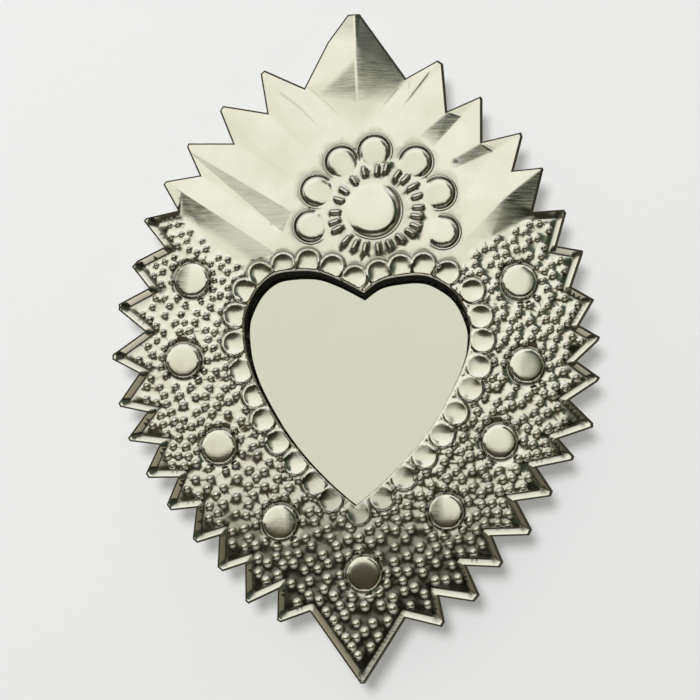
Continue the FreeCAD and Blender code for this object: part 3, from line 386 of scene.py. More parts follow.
# Profiles of the pressed forms. Ratios are shares of a form's radius, offsets and widths are
# millimetres outside that radius, and facings are cosines of the angle to a direction.
# Their shade entries place painted shade: in a boss's moat, round a dash's foot, in a scallop's
# moat and on the upper inside of its dish
BOSS_FORM = SimpleNamespace(
    top_fall=0.17, side_ratios=(0.95, 1.02), moat_offsets=(-0.15, 0.3), shade_offset=0.25,
    shade_width=0.4, gap=0.18,
    rings=((0.3, 8), (0.55, 14), (0.75, 22), (0.88, 30), (0.945, 40), (0.985, 44), (1.025, 44),
           (1.09, 40), (1.2, 34), (1.32, 34), (1.45, 34)))
PETAL_FORM = SimpleNamespace(groove_facings=(-0.62, -0.35), side_ratios=(0.86, 1.0))
DISC_FORM = SimpleNamespace(high_side=(0.8, -0.6), groove_facings=(-0.25, 0.15), low_share=0.6)
ROUND_FORM = SimpleNamespace(ratios=(0.3, 0.55, 0.76, 0.9), inner_places=6, inner_gap=0.3,
                             offsets=(-0.3, -0.05, 0.2, 0.42, 0.65, 0.9, 1.2), outer_places=9,
                             outer_gap=0.17)
DASH_FORM = SimpleNamespace(roundness=0.6, groove_depth=0.08, groove_ratio=1.2, groove_width=0.2,
                            shade_ratio=0.85, shade_width=0.4, ratios=(0.5, 0.82, 1.02, 1.35),
                            places=16)
CUP_FORM = SimpleNamespace(
    open_facings=(-0.75, 0.1), open_fall=0.75, steepness=2.2, side_width=0.75, moat_depth=0.16,
    moat_offset=1.0, moat_width=0.45, reach=2.6, shade_offset=0.85, shade_width=0.35,
    upper_shade=0.4, upper_shares=(0.0, 0.8), rings=((0.3, 6), (0.55, 12), (0.75, 18), (0.9, 26)),
    inner_gap=0.25, offsets=(0.0, 0.2, 0.42, 0.7, 1.05, 1.6), places=32, outer_gap=0.17)

# The pressed outline of petals and disc: two grooves, with painted shade in them, and the ridge
# between them
INNER_GROOVE = SimpleNamespace(offset=-0.15, width=0.4, size=0.4)
LINE_RIDGE = SimpleNamespace(offset=0.55, width=0.2, size=0.12)
OUTER_GROOVE = SimpleNamespace(offset=0.95, width=0.2, size=0.12)
OUTER_GROOVE_SHADE = 0.85

# Pebbles: how far widths and heights differ, and how they grow from the top of the field to its
# point; and the ring of painted shade on each, whose strength, middle and width are given at the
# top of the field and with their growth down to its point
PEBBLE_FORM = SimpleNamespace(
    widths=(0.95, 1.25), heights=(0.85, 1.15), top_width=0.77, width_growth=0.32,
    height_growth=0.8, roundness=1.4, painted_shade=((0.8, -0.2), (0.48, 0.42), (0.16, 0.14)),
    rings=((0.3, 6), (0.58, 9), (0.82, 12), (1.02, 13)))

# Painted shade on the low ground between pebbles: strength, where it sets in down the field, and
# how fast it ends up a pebble's side
GROUND_SHADE = 0.9
GROUND_SHADE_SHARES = (0.52, 0.76)
GROUND_SHADE_FALL = 12.0

# Slow waves of the sheet and of the pebbled ground: lengths, layers in the noise field, the
# share of the fine wave, how strong the ground's waves are at its top and how much stronger they
# get down to its point, and how wide the calm ground round a boss is
WAVE_LENGTH = 22.0
FINE_WAVE_LENGTH = 7.0
FINE_WAVE_SHARE = 0.25
WAVE_LAYER = 3.0
FIELD_WAVE_LENGTH = 6.0
FIELD_WAVE_LAYER = 40.0
FIELD_WAVE_SHARES = (0.05, 1.2)
BOSS_CALM_WIDTH = 3.0

# Width of the painted shade in creases and pleats, the flattened ridge, how low the front may lie
# over the tray, and how far behind its plane the sheet's back may lie beside the tray
CREASE_SHADE_WIDTH = 0.9
PLEAT_SHADE_WIDTH = 0.25
RIDGE_LIFT = 2.0
RIDGE_HALF_WIDTH = 0.35
LOWEST_OVER_TRAY = -0.42
DEEPEST_BACK = 1.0

# Steps of the sheet's mesh in millimetres: along its lines, beside them and in the plain field,
# the least gaps between its places, and the cells in which near places are looked for
EDGE_STEP = 1.3
CREASE_STEP = 1.5
FOLD_STEP = 2.0
SPOT_CELL = 1.0
PEBBLE_CELL = 2.0
BESIDE_FOLD = SimpleNamespace(step=1.6, offset=0.4, gap=0.28)
BESIDE_HEART = SimpleNamespace(offsets=(0.3, 0.65, 1.05), gap=0.24)
BESIDE_PLEAT = SimpleNamespace(step=0.7, offsets=(-0.5, -0.25, 0.0, 0.25, 0.5, 1.0, 1.5),
                               gap=0.15)
FIELD_GRID = SimpleNamespace(step=1.7, shift=0.3, gap=1.15, seed=5)
FORM_GAP = 0.2
LINE_GAP = 0.15
EDGE_ZONE = 0.2


def view_axes():
    """Eye point of the photograph in frame pixels, and its directions ahead, side and up."""
    eye = Vector((VIEW_FOOT_PIXEL[0] - FRAME_CENTRE_PIXEL[0], -VIEW_DISTANCE_PIXELS,
                  FRAME_CENTRE_PIXEL[1] - VIEW_FOOT_PIXEL[1]))
    side = (-eye).cross(UP).normalized()
    return eye, -eye, side, side.cross(-eye).normalized()


def view_ray(pixel):
    """Eye point and the ray through a pixel, in frame pixels."""
    eye, ahead, side, rise = view_axes()
    ray = (ahead + side * (pixel[0] - FRAME_CENTRE_PIXEL[0])
           + rise * (FRAME_CENTRE_PIXEL[1] - pixel[1]))
    return eye, ray


def frame_place(pixel, lift_pixels=0.0):
    """Where the ray through a pixel meets the sheet, or a plane lifted in front of it."""
    eye, ray = view_ray(pixel)
    return eye + ray * ((VIEW_DISTANCE_PIXELS - lift_pixels) / ray.y)


def lift_slope(pixel):
    """How far the ray through a pixel rises for each length that it runs to the wall."""
    ray = view_ray(pixel)[1]
    return ray.z / ray.y


def make_scale():
    """Millimetres per frame pixel on the sheet, with its top and bottom tips lifted."""
    flat = frame_place(SHEET_TOP_PIXEL).z - frame_place(SHEET_BOTTOM_PIXEL).z
    hidden = CROWN_LIFT * lift_slope(SHEET_TOP_PIXEL) - RIM_LIFT * lift_slope(SHEET_BOTTOM_PIXEL)
    return (SHEET_HEIGHT + hidden) / flat


MM_PER_PIXEL = make_scale()
FRAME_ORIGIN = frame_place(MIRROR_CENTRE_PIXEL)


def plane_place(pixel, lift=0.0):
    """Place in the sheet's plane, in millimetres, of what is seen at a pixel."""
    place = frame_place(pixel, lift / MM_PER_PIXEL) - FRAME_ORIGIN
    return np.array((place.x, place.z)) * MM_PER_PIXEL


def inward(start, end):
    """Unit vector to the right of the run from start to end, seen from the front."""
    run = (end - start) / np.linalg.norm(end - start)
    return np.array((run[1], -run[0]))


def meet(first, second, step, second_step=None):
    """Where two edges meet once each has moved inward by its step."""
    second_step = step if second_step is None else second_step
    first_start = first[0] + inward(*first) * step
    first_run = first[1] - first[0]
    second_run = second[1] - second[0]
    apart = second[0] + inward(*second) * second_step - first_start
    turn = first_run[0] * second_run[1] - first_run[1] * second_run[0]
    if abs(turn) < 1e-9:
        return first_start + first_run
    return first_start + first_run * ((apart[0] * second_run[1] - apart[1] * second_run[0]) / turn)


def inset_outline(points, step, right_extra):
    """A closed clockwise outline moved inward by step, and further where it faces right."""
    edges = [(first, second) for first, second in zip(points, points[1:] + points[:1])]
    steps = [step * (1 + right_extra * max(0.0, -inward(*edge)[0])) for edge in edges]
    return [meet(edges[place - 1], edges[place], steps[place - 1], steps[place])
            for place in range(len(edges))]


def make_rim(crease_drop):
    """Strips of the lower rim as (corners, lifts), its outer edge and its crease, clockwise."""
    notches = [plane_place(pixel, RIM_LIFT) for pixel in RIM_NOTCH_PIXELS]
    tips = [[plane_place(pixel, RIM_LIFT) for pixel in pair] for pair in RIM_TIP_PIXELS]
    falling = [(notch, pair[0]) for notch, pair in zip(notches[:-1], tips)]
    rising = [(pair[1], notch) for pair, notch in zip(tips, notches[1:])]
    tip_creases = [meet(*pair, RIM_STRIP_WIDTH) for pair in zip(falling, rising)]
    notch_creases = [meet(*pair, RIM_STRIP_WIDTH) for pair in zip(rising[:-1], falling[1:])]
    first = falling[0][0] + inward(*falling[0]) * RIM_STRIP_WIDTH
    last = rising[-1][1] + inward(*rising[-1]) * RIM_STRIP_WIDTH
    notch_creases = [first] + notch_creases + [last]
    notch_lifts = [RIM_END_LIFTS[0]] + [RIM_LIFT] * (len(tips) - 1) + [RIM_END_LIFTS[1]]
    strips = []
    outer_edge = [notches[0]]
    crease = [first]
    for place, pair in enumerate(tips):
        low = [notch_creases[place], tip_creases[place], notch_creases[place + 1]]
        first_lift, last_lift = notch_lifts[place:place + 2]
        strips.append(([notches[place], pair[0], low[1]], [first_lift, RIM_LIFT, -crease_drop]))
        strips.append(([notches[place], low[1], low[0]],
                       [first_lift, -crease_drop, -crease_drop]))
        strips.append(([pair[0], pair[1], low[1]], [RIM_LIFT, RIM_LIFT, -crease_drop]))
        strips.append(([pair[1], notches[place + 1], low[1]],
                       [RIM_LIFT, last_lift, -crease_drop]))
        strips.append(([notches[place + 1], low[2], low[1]],
                       [last_lift, -crease_drop, -crease_drop]))
        outer_edge += [pair[0], pair[1], notches[place + 1]]
        crease += [low[1], low[2]]
    return strips, outer_edge, crease


def make_crown(rim_edge, crease, crease_drop):
    """Crown facets as (corners, lifts), the crown's outer edge and the folds between facets."""
    corners = {"rim_left": (rim_edge[-1], RIM_END_LIFTS[1]),
               "rim_right": (rim_edge[0], RIM_END_LIFTS[0]),
               "crease_left": (crease[-1], -crease_drop),
               "crease_right": (crease[0], -crease_drop)}
    for name, pixel, share in CROWN_EDGE_PIXELS_AND_SHARES + CROWN_FOLD_PIXELS_AND_SHARES:
        corners[name] = (plane_place(pixel, CROWN_LIFT * share), CROWN_LIFT * share)
    for name, pixel in FIELD_EDGE_PIXELS:
        corners[name] = (plane_place(pixel), 0.0)
    facets = []
    folds = set()
    for facet in CROWN_FACETS:
        facets.append(([corners[name][0] for name in facet], [corners[name][1] for name in facet]))
        for pair in zip(facet, facet[1:] + facet[:1]):
            folds.add(tuple(sorted(pair)))
    edge = [corners[name][0] for name, pixel, share in CROWN_EDGE_PIXELS_AND_SHARES]
    return facets, edge, [(corners[a][0], corners[b][0]) for a, b in sorted(folds)]


def smooth_run(points, steps):
    """Points along a smooth curve through the given ones (Catmull-Rom)."""
    ends = [2 * points[0] - points[1]] + points + [2 * points[-1] - points[-2]]
    run = []
    for place in range(len(points) - 1):
        before, start, end, after = ends[place:place + 4]
        for step in range(steps):
            t = step / steps
            run.append(0.5 * (2 * start + (end - before) * t
                              + (2 * before - 5 * start + 4 * end - after) * t ** 2
                              + (3 * start - before - 3 * end + after) * t ** 3))
    return run + [points[-1]]


def make_heart(steps=8):
    """Outline of the heart-shaped opening, clockwise from the dip between its lobes."""
    right = smooth_run([plane_place(pixel) for pixel in HEART_RIGHT_PIXELS], steps)
    left = smooth_run([plane_place(pixel) for pixel in HEART_LEFT_PIXELS], steps)
    return right + left[-2:0:-1]


def inside(outline, places):
    """Which places lie inside a closed outline."""
    result = np.zeros(len(places), bool)
    x, z = places[:, 0], places[:, 1]
    for (x0, z0), (x1, z1) in zip(outline, outline[1:] + outline[:1]):
        if z0 == z1:
            continue
        crosses = (z0 > z) != (z1 > z)
        result ^= crosses & (x < (x1 - x0) * (z - z0) / (z1 - z0) + x0)
    return result


def line_distance(line, places):
    """Distance of each place from a line of joined points."""
    result = np.full(len(places), np.inf)
    for start, end in zip(line[:-1], line[1:]):
        run = end - start
        share = np.clip((places - start) @ run / max(run @ run, 1e-12), 0, 1)
        result = np.minimum(result, np.linalg.norm(places - start - share[:, None] * run, axis=1))
    return result


def smooth_share(value, low, high):
    """0 below low, 1 above high, and a smooth rise between them."""
    share = np.clip((value - low) / (high - low), 0, 1)
    return share * share * (3 - 2 * share)


def fading(distance, reach):
    """1 at no distance, and evenly less down to 0 at the reach."""
    return np.clip(1 - distance / reach, 0, 1)


def bell(value, middle, width):
    """1 at the middle, and smoothly less on both sides."""
    return np.exp(-((value - middle) / width) ** 2)


def closed(line):
    """A line of points that ends where it starts."""
    return line + line[:1]


def unit_circle(count, turn=0.0):
    """Unit vectors evenly all round, the first at an angle in radians."""
    return [np.array((math.cos(turn + 2 * math.pi * step / count),
                      math.sin(turn + 2 * math.pi * step / count))) for step in range(count)]


class Spots:
    """Places in the sheet's plane, kept in square cells so that near ones are found fast."""

    def __init__(self, cell):
        self.cell = cell
        self.places = []
        self.cells = {}
        self.numbers = {}

    def is_free(self, place, gap):
        """Says whether no other place is nearer than the gap."""
        column, row = (place // self.cell).astype(int)
        reach = int(gap / self.cell) + 1
        for i in range(column - reach, column + reach + 1):
            for j in range(row - reach, row + reach + 1):
                for other in self.cells.get((i, j), ()):
                    if (other[0] - place[0]) ** 2 + (other[1] - place[1]) ** 2 < gap ** 2:
                        return False
        return True

    def add(self, place, gap=0.0):
        """Adds a place unless another is nearer than gap, and says whether it did."""
        if gap and not self.is_free(place, gap):
            return False
        self.cells.setdefault(tuple((place // self.cell).astype(int)), []).append(place)
        self.numbers[tuple(np.round(place, 3))] = len(self.places)
        self.places.append(place)
        return True

    def number(self, place):
        """Number of a place, which is added where there is none yet."""
        key = tuple(np.round(place, 3))
        if key not in self.numbers:
            self.add(place)
        return self.numbers[key]


def double_line(past):
    """Lift and painted shade of a pressed outline: two thin grooves with a thin ridge between."""
    inner, ridge, outer = (bell(past, line.offset, line.width)
                           for line in (INNER_GROOVE, LINE_RIDGE, OUTER_GROOVE))
    lift = LINE_RIDGE.size * ridge - INNER_GROOVE.size * inner - OUTER_GROOVE.size * outer
    return lift, np.maximum(inner, OUTER_GROOVE_SHADE * outer)


class Relief:
    """The sheet's plan, its folds, bosses, petals, dashes, scallops and pebbles, and its relief."""

    def __init__(self, sizes, growth, seed):
        self.sizes = sizes
        self.strips, self.rim_edge, self.crease = make_rim(sizes.crease_drop)
        self.facets, crown_edge, self.folds = make_crown(self.rim_edge, self.crease,
                                                         sizes.crease_drop)
        self.outline = self.rim_edge + crown_edge
        # The border inside this line is painted dark: the cut edge's oxide and painted shadow,
        # wider on right-facing edges
        self.burr = inset_outline(self.outline, sizes.burr_width, BURR_RIGHT_SHADOW_EXTRA)
        self.heart = make_heart()
        self.pleats = [SimpleNamespace(**{**pleat, "line": [plane_place(pixel)
                                                            for pixel in pleat["line"]]})
                       for pleat in PLEATS]
        self.bosses = [plane_place(pixel) for pixel in BOSS_PIXELS]
        self.petals = [plane_place(pixel) for pixel in PETAL_PIXELS]
        self.flower = plane_place(FLOWER_CENTRE_PIXEL)
        self.dashes = [plane_place(pixel) for pixel in DASH_PIXELS]
        self.cups = [plane_place(pixel) for pixel in CUP_PIXELS]
        self.pebble_growth = growth
        self.pebble_seed = seed
        self.pebbles = self.place_pebbles()

    def down_share(self, height):
        """How far down the pebbled field a height is, from 0 at its top to 1 at its point."""
        top = plane_place(RIM_NOTCH_PIXELS[0])[1]
        bottom = plane_place(SHEET_BOTTOM_PIXEL)[1]
        return (top - height) / (top - bottom)

    def pebble_size(self, place):
        """Radius of a pebble and its least distance to the next: both grow down the field."""
        growth = 1 + self.pebble_growth * self.down_share(place[1])
        radius = self.sizes.pebble_radius * growth
        return radius, 2 * radius + self.sizes.pebble_apart

    def pebble_rows(self, rounds):
        """Places for pebbles along the teeth and round the bosses and scallops."""
        places = []
        for start, end in zip(self.crease[:-1], self.crease[1:]):
            radius, spacing = self.pebble_size(start)
            count = max(1, int(np.linalg.norm(end - start) / spacing))
            step = inward(start, end) * (radius + self.sizes.pebble_gap)
            places += [start + (end - start) * ((number + 0.5) / count) + step
                       for number in range(count)]
        for centre, round_radius in rounds:
            radius, spacing = self.pebble_size(centre)
            ring_radius = round_radius + radius + self.sizes.pebble_gap
            places += [centre + spoke * ring_radius
                       for spoke in unit_circle(int(2 * math.pi * ring_radius / spacing))]
        return places

    def pebble_field(self, limits):
        """Places for pebbles all over the field: staggered rows, coarse ones and then fine."""
        places = []
        low, high = np.min(limits, axis=0), np.max(limits, axis=0)
        spacing = 2 * self.sizes.pebble_radius + self.sizes.pebble_apart
        for step in (spacing, spacing / 3):
            for row in range(int((high[1] - low[1]) / step)):
                stagger = step / 2 if row % 2 else 0
                places += [np.array((low[0] + column * step + stagger, high[1] - row * step))
                           for column in range(int((high[0] - low[0]) / step))]
        return places

    def place_pebbles(self):
        """Middles and radii of the pebbles, shifted at random as hand punching leaves them."""
        sizes = self.sizes
        limits = self.crease + [plane_place(pixel) for pixel in PEBBLE_LIMIT_PIXELS]
        cups = [plane_place(pixel) for pixel in SOLID_CUP_PIXELS]
        rounds = [(centre, sizes.boss_radius) for centre in self.bosses]
        rounds += [(centre, sizes.solid_cup_radius) for centre in cups]
        chance = random.Random(self.pebble_seed)
        wished = self.pebble_rows(rounds) + self.pebble_field(limits)
        wished = [place + np.array((chance.uniform(-1, 1), chance.uniform(-1, 1)))
                  * sizes.pebble_shift for place in wished]
        places = np.array(wished)
        inner = inside(limits, places) & ~inside(cups, places)
        to_limits = line_distance(closed(limits), places)
        spots = Spots(PEBBLE_CELL)
        pebbles = []
        for place, is_inner, distance in zip(wished, inner, to_limits):
            radius, spacing = self.pebble_size(place)
            reach = radius + sizes.pebble_gap / 2
            if not is_inner or distance < reach or not spots.is_free(place, spacing):
                continue
            if any(np.linalg.norm(place - centre) < round_radius + reach
                   for centre, round_radius in rounds):
                continue
            spots.add(place)
            down = self.down_share(place[1])
            radius *= (chance.uniform(*PEBBLE_FORM.widths)
                       * (PEBBLE_FORM.top_width + PEBBLE_FORM.width_growth * down))
            rise = sizes.pebble_rise * (1 + PEBBLE_FORM.height_growth * down)
            rise *= chance.uniform(*PEBBLE_FORM.heights)
            pebbles.append((self.clear_of_cups(place), radius, rise))
        return pebbles

    def clear_of_cups(self, place):
        """A pebble's place, pushed off the scallops' rims."""
        for centre in self.cups:
            apart = np.linalg.norm(place - centre)
            least = self.sizes.cup_radius + self.sizes.pebble_radius
            if apart < least:
                place = centre + (place - centre) * (least / apart)
        return place

    def over_tray(self, places):
        """Which places lie over the tray behind the sheet, where its back stays flat."""
        low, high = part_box("back_tray")
        x, z = places[:, 0] * MM, places[:, 1] * MM
        return (x > low.x) & (x < high.x) & (z > low.z) & (z < high.z)

    def facet_heights(self, places):
        """Lift of each place on the strips and facets, and which places lie on them."""
        lift = np.zeros(len(places))
        found = np.zeros(len(places), bool)
        for corners, lifts in self.strips + self.facets:
            a, b, c = corners
            turn = (b[0] - a[0]) * (c[1] - a[1]) - (b[1] - a[1]) * (c[0] - a[0])
            if abs(turn) < 1e-9:
                continue
            off = places - a
            share_b = (off[:, 0] * (c[1] - a[1]) - off[:, 1] * (c[0] - a[0])) / turn
            share_c = (off[:, 1] * (b[0] - a[0]) - off[:, 0] * (b[1] - a[1])) / turn
            share_a = 1 - share_b - share_c
            hit = (share_a > -1e-4) & (share_b > -1e-4) & (share_c > -1e-4) & ~found
            value = share_a * lifts[0] + share_b * lifts[1] + share_c * lifts[2]
            lift[hit] = value[hit]
            found |= hit
        return lift, found

    def heights(self, places):
        """Lift of each place towards the front, and the painted shade it gets in creases, grooves,
        moats and on the pebbles, 0 to 1.
        """
        sizes = self.sizes
        lift, found = self.facet_heights(places)
        to_edge = line_distance(closed(self.outline), places)
        self.soften_bends(places, lift, to_edge)
        to_crease = line_distance(self.crease, places)
        valley = fading(to_crease, sizes.crease_width) ** 2
        lift -= np.where(found, 0, sizes.crease_drop * valley)
        # Painted shade along the teeth's crease
        crevice_shade = fading(to_crease, CREASE_SHADE_WIDTH) ** 2
        field = self.field_share(places)
        self.add_waves(places, lift, field)
        lift, crevice_shade = self.press_pleats(places, lift, crevice_shade)
        relief = np.zeros(len(places))
        for centre, lean in zip(self.bosses, BOSS_LEANS):
            relief, crevice_shade = self.press_boss(places, centre, lean, relief, crevice_shade)
        for centre in self.petals:
            relief, crevice_shade = self.press_petal(places, centre, relief, crevice_shade)
        relief, crevice_shade = self.press_disc(places, relief, crevice_shade)
        relief, crevice_shade = self.press_dashes(places, relief, crevice_shade)
        relief, crevice_shade = self.press_cups(places, relief, crevice_shade)
        bumps, crevice_shade = self.press_pebbles(places, field, crevice_shade)
        lift += relief + bumps
        return self.finish_edges(places, lift, to_edge), crevice_shade

    def soften_bends(self, places, lift, to_edge):
        """Blends the facets' lifts across each soft bend, less and less away from its middle."""
        for pixel, reach, way, span in SOFT_BENDS:
            away = np.linalg.norm(places - plane_place(pixel), axis=1)
            soft = np.flatnonzero(away < reach)
            step = span * (1 - smooth_share(away[soft], SOFT_CORE_SHARE * reach, reach))
            step = np.minimum(step, SOFT_EDGE_SHARE * to_edge[soft])
            lift[soft] = np.mean([self.facet_heights(places[soft] + np.outer(step * share, way))[0]
                                  for share in np.linspace(-1, 1, SOFT_PLACES)], axis=0)

    def add_waves(self, places, lift, field):
        """Adds the slow waves of the hand-worked sheet, and the pebbled ground's own."""
        for number, place in enumerate(places):
            spot = Vector((place[0], place[1], WAVE_LAYER))
            wave = noise.noise(spot / WAVE_LENGTH)
            wave += FINE_WAVE_SHARE * noise.noise(spot / FINE_WAVE_LENGTH)
            lift[number] += 0.5 * self.sizes.wave_rise * (1 + wave)
            if field[number] > 0:
                spot = Vector((place[0], place[1], FIELD_WAVE_LAYER)) / FIELD_WAVE_LENGTH
                lift[number] += self.sizes.field_wave * field[number] * noise.noise(spot)

    def field_share(self, places):
        """How much of the pebbled ground's waves each place gets: more towards the point."""
        limits = self.crease + [plane_place(pixel) for pixel in PEBBLE_LIMIT_PIXELS]
        low = np.clip(self.down_share(places[:, 1]), 0, 1)
        top_share, growth = FIELD_WAVE_SHARES
        share = np.where(inside(limits, places), top_share + growth * low, 0)
        for centre in self.bosses:
            off = np.linalg.norm(places - centre, axis=1) - self.sizes.boss_radius
            share *= smooth_share(off, 0, BOSS_CALM_WIDTH)
        return share

    def press_pebbles(self, places, field, crevice_shade):
        """Small domes, with a ring of painted shade on each and painted shade on the low ground
        between them.
        """
        form = PEBBLE_FORM
        bumps = np.zeros(len(places))
        for centre, radius, rise in self.pebbles:
            near = np.abs(places - centre).max(axis=1) < 2 * radius
            ratio = np.linalg.norm(places[near] - centre, axis=1) / radius
            dome = rise * np.clip(1 - ratio ** 2, 0, 1) ** form.roundness
            bumps[near] = np.maximum(bumps[near], dome)
            down = self.down_share(centre[1])
            # A ring of painted shade on the pebble's flank
            strength, middle, width = (top + growth * down for top, growth in form.painted_shade)
            painted_shade = strength * bell(ratio, middle, width)
            crevice_shade[near] = np.maximum(crevice_shade[near], painted_shade)
        # Painted shade on the low ground, setting in down the field and less on the pebbles
        ground = GROUND_SHADE * smooth_share(self.down_share(places[:, 1]), *GROUND_SHADE_SHARES)
        ground *= field.clip(0, 1) * np.exp(-GROUND_SHADE_FALL * bumps)
        return bumps, np.maximum(crevice_shade, ground)

    def finish_edges(self, places, lift, to_edge):
        """Lift with the ridge pressed flat, the heart's edge rolled back and the border sheared."""
        sizes = self.sizes
        to_ridge = line_distance([plane_place(pixel, RIDGE_LIFT) for pixel in RIDGE_PIXELS],
                                 places)
        lift = lift - sizes.ridge_flat * fading(to_ridge, RIDGE_HALF_WIDTH)
        to_heart = line_distance(closed(self.heart), places)
        lift -= sizes.roll_drop * fading(to_heart, sizes.roll_width) ** 2
        lift = np.minimum(lift, CROWN_LIFT)
        lift = np.where(self.over_tray(places), np.maximum(lift, LOWEST_OVER_TRAY), lift)
        return lift - sizes.burr_drop * fading(to_edge, sizes.burr_width)

    def press_pleats(self, places, lift, crevice_shade):
        """Folds that fall to one side of a line and level out again beyond."""
        for pleat in self.pleats:
            nearest = np.full(len(places), np.inf)
            across = np.zeros(len(places))
            along = np.zeros(len(places))
            passed = 0.0
            for start, end in zip(pleat.line, pleat.line[1:]):
                run = end - start
                long = np.linalg.norm(run)
                share = np.clip((places - start) @ run / long ** 2, 0, 1)
                off = places - start - share[:, None] * run
                gap = np.linalg.norm(off, axis=1)
                closer = gap < nearest
                nearest[closer] = gap[closer]
                across[closer] = -pleat.side * (off @ inward(start, end))[closer]
                along[closer] = (passed + share * long)[closer]
                passed += long
            width = np.interp(along, (pleat.begin, passed), pleat.widths)
            drop = np.interp(along, (pleat.begin, passed), pleat.drops)
            skewed = along - pleat.skew * np.clip(across, 0, width)
            ends = smooth_share(skewed, pleat.begin, pleat.begin + pleat.fades[0]) * (
                1 - smooth_share(along, passed - pleat.fades[1], passed))
            depth = np.clip(across / width, 0, 1) * (
                1 - smooth_share(across, width, width + pleat.level))
            lift = lift - drop * depth * ends
            # Painted shade along the pleat's line
            crevice_shade = np.maximum(crevice_shade, pleat.painted_shade * ends * bell(nearest, 0, PLEAT_SHADE_WIDTH))
        return lift, crevice_shade

    def press_boss(self, places, centre, lean, relief, crevice_shade):
        """A flat-topped dome with a steep side and a moat that rises slowly to the field."""
        sizes, form = self.sizes, BOSS_FORM
        off = np.linalg.norm(places - centre, axis=1)
        ratio = off / sizes.boss_radius
        dome = sizes.boss_rise * (1 - form.top_fall * ratio ** 5)
        dome -= (places - centre) @ np.array(lean)
        side = 1 - smooth_share(ratio, *form.side_ratios)
        past = off - sizes.boss_radius
        moat = smooth_share(past, *form.moat_offsets) * (
            1 - smooth_share(past, form.moat_offsets[1], sizes.moat_width))
        relief = np.where(ratio < form.side_ratios[1], dome * side, relief)
        relief = relief - sizes.moat_drop * moat
        # Painted shade in a ring just outside the boss's side, in its moat
        painted_shade = bell(past, form.shade_offset, form.shade_width)
        return relief, np.maximum(crevice_shade, painted_shade)

    def press_petal(self, places, centre, relief, crevice_shade):
        """A low dome with a groove round the side that faces away from the flower."""
        sizes = self.sizes
        out = (centre - self.flower) / np.linalg.norm(centre - self.flower)
        offset = places - centre
        off = np.linalg.norm(offset, axis=1)
        facing = (offset @ out) / np.maximum(off, 1e-6)
        mask = smooth_share(facing, *PETAL_FORM.groove_facings)
        tilt = 0.5 + 0.5 * np.clip(offset @ out / sizes.petal_radius, -1, 1)
        dome = sizes.petal_rise * tilt * (
            1 - smooth_share(off / sizes.petal_radius, *PETAL_FORM.side_ratios))
        # Painted shade in the grooves, on the side away from the flower
        line, shade_share = double_line(off - sizes.petal_radius)
        return relief + dome + mask * line, np.maximum(crevice_shade, mask * shade_share)

    def press_disc(self, places, relief, crevice_shade):
        """The flower's middle, outlined mostly on its lower right."""
        sizes, form = self.sizes, DISC_FORM
        offset = places - self.flower
        off = np.linalg.norm(offset, axis=1)
        forward = offset @ np.array(form.high_side)
        mask = smooth_share(forward / np.maximum(off, 1e-6), *form.groove_facings)
        dome = sizes.disc_rise * (1 - np.clip(off / sizes.disc_radius, 0, 1) ** 8)
        dome *= form.low_share + (1 - form.low_share) * np.clip(forward / sizes.disc_radius, -1, 1)
        # Painted shade in the grooves, mostly on the lower right
        line, shade_share = double_line(off - sizes.disc_radius)
        return relief + dome + mask * line, np.maximum(crevice_shade, mask * shade_share)

    def dash_axis(self, centre):
        """Direction of a dash away from the flower's middle, and half its straight length."""
        out = (centre - self.flower) / np.linalg.norm(centre - self.flower)
        return out, out * (self.sizes.dash_length / 2 - self.sizes.dash_radius)

    def press_dashes(self, places, relief, crevice_shade):
        """Short ridges that point at the flower's middle."""
        sizes, form = self.sizes, DASH_FORM
        for centre in self.dashes:
            half = self.dash_axis(centre)[1]
            ratio = line_distance([centre - half, centre + half], places) / sizes.dash_radius
            relief = relief + sizes.dash_rise * np.clip(1 - ratio ** 2, 0, 1) ** form.roundness
            relief -= form.groove_depth * bell(ratio, form.groove_ratio, form.groove_width)
            # Painted shade round each dash's foot
            crevice_shade = np.maximum(crevice_shade, bell(ratio, form.shade_ratio, form.shade_width))
        return relief, crevice_shade

    def press_cups(self, places, relief, crevice_shade):
        """Dishes round the heart, each with a thin rim that falls steeply outside."""
        sizes, form = self.sizes, CUP_FORM
        nearest = np.full(len(places), np.inf)
        open_share = np.zeros(len(places))
        upward = np.zeros(len(places))
        heart = np.array(self.heart)
        for centre in self.cups:
            out = centre - heart[np.argmin(np.linalg.norm(heart - centre, axis=1))]
            offset = places - centre
            off = np.linalg.norm(offset, axis=1)
            facing = offset @ out / np.maximum(off * np.linalg.norm(out), 1e-6)
            closer = off < nearest
            nearest[closer] = off[closer]
            open_share[closer] = 1 - smooth_share(facing, *form.open_facings)[closer]
            upward[closer] = offset[closer, 1] / sizes.cup_radius
        ratio = nearest / sizes.cup_radius
        past = nearest - sizes.cup_radius
        rise = sizes.cup_rise * (1 - form.open_fall * open_share)
        dish = sizes.cup_floor + (rise - sizes.cup_floor) * np.clip(ratio, 0, 1) ** form.steepness
        fall = rise * (1 - smooth_share(past, 0.0, form.side_width))
        moat = -form.moat_depth * bell(past, form.moat_offset, form.moat_width)
        cup = np.where(ratio < 1, dish, fall + moat)
        # Painted shade in the moat outside each rim, and on the upper inside of each dish, where a
        # dish is shaded
        painted_shade = (1 - open_share) * bell(past, form.shade_offset, form.shade_width)
        upper = form.upper_shade * smooth_share(upward, *form.upper_shares) * (ratio < 1)
        return (relief + np.where(past < form.reach, cup, 0),
                np.maximum(crevice_shade, np.maximum(painted_shade, upper)))


def divide(start, end, count):
    """The start of a run and the points that divide it evenly."""
    return [start + (end - start) * step / count for step in range(count)]


def ring(centre, radius, count, gap, turn=0.0):
    """Places evenly round a circle, each with its least distance to the others."""
    return [(centre + spoke * radius, gap) for spoke in unit_circle(count, turn)]


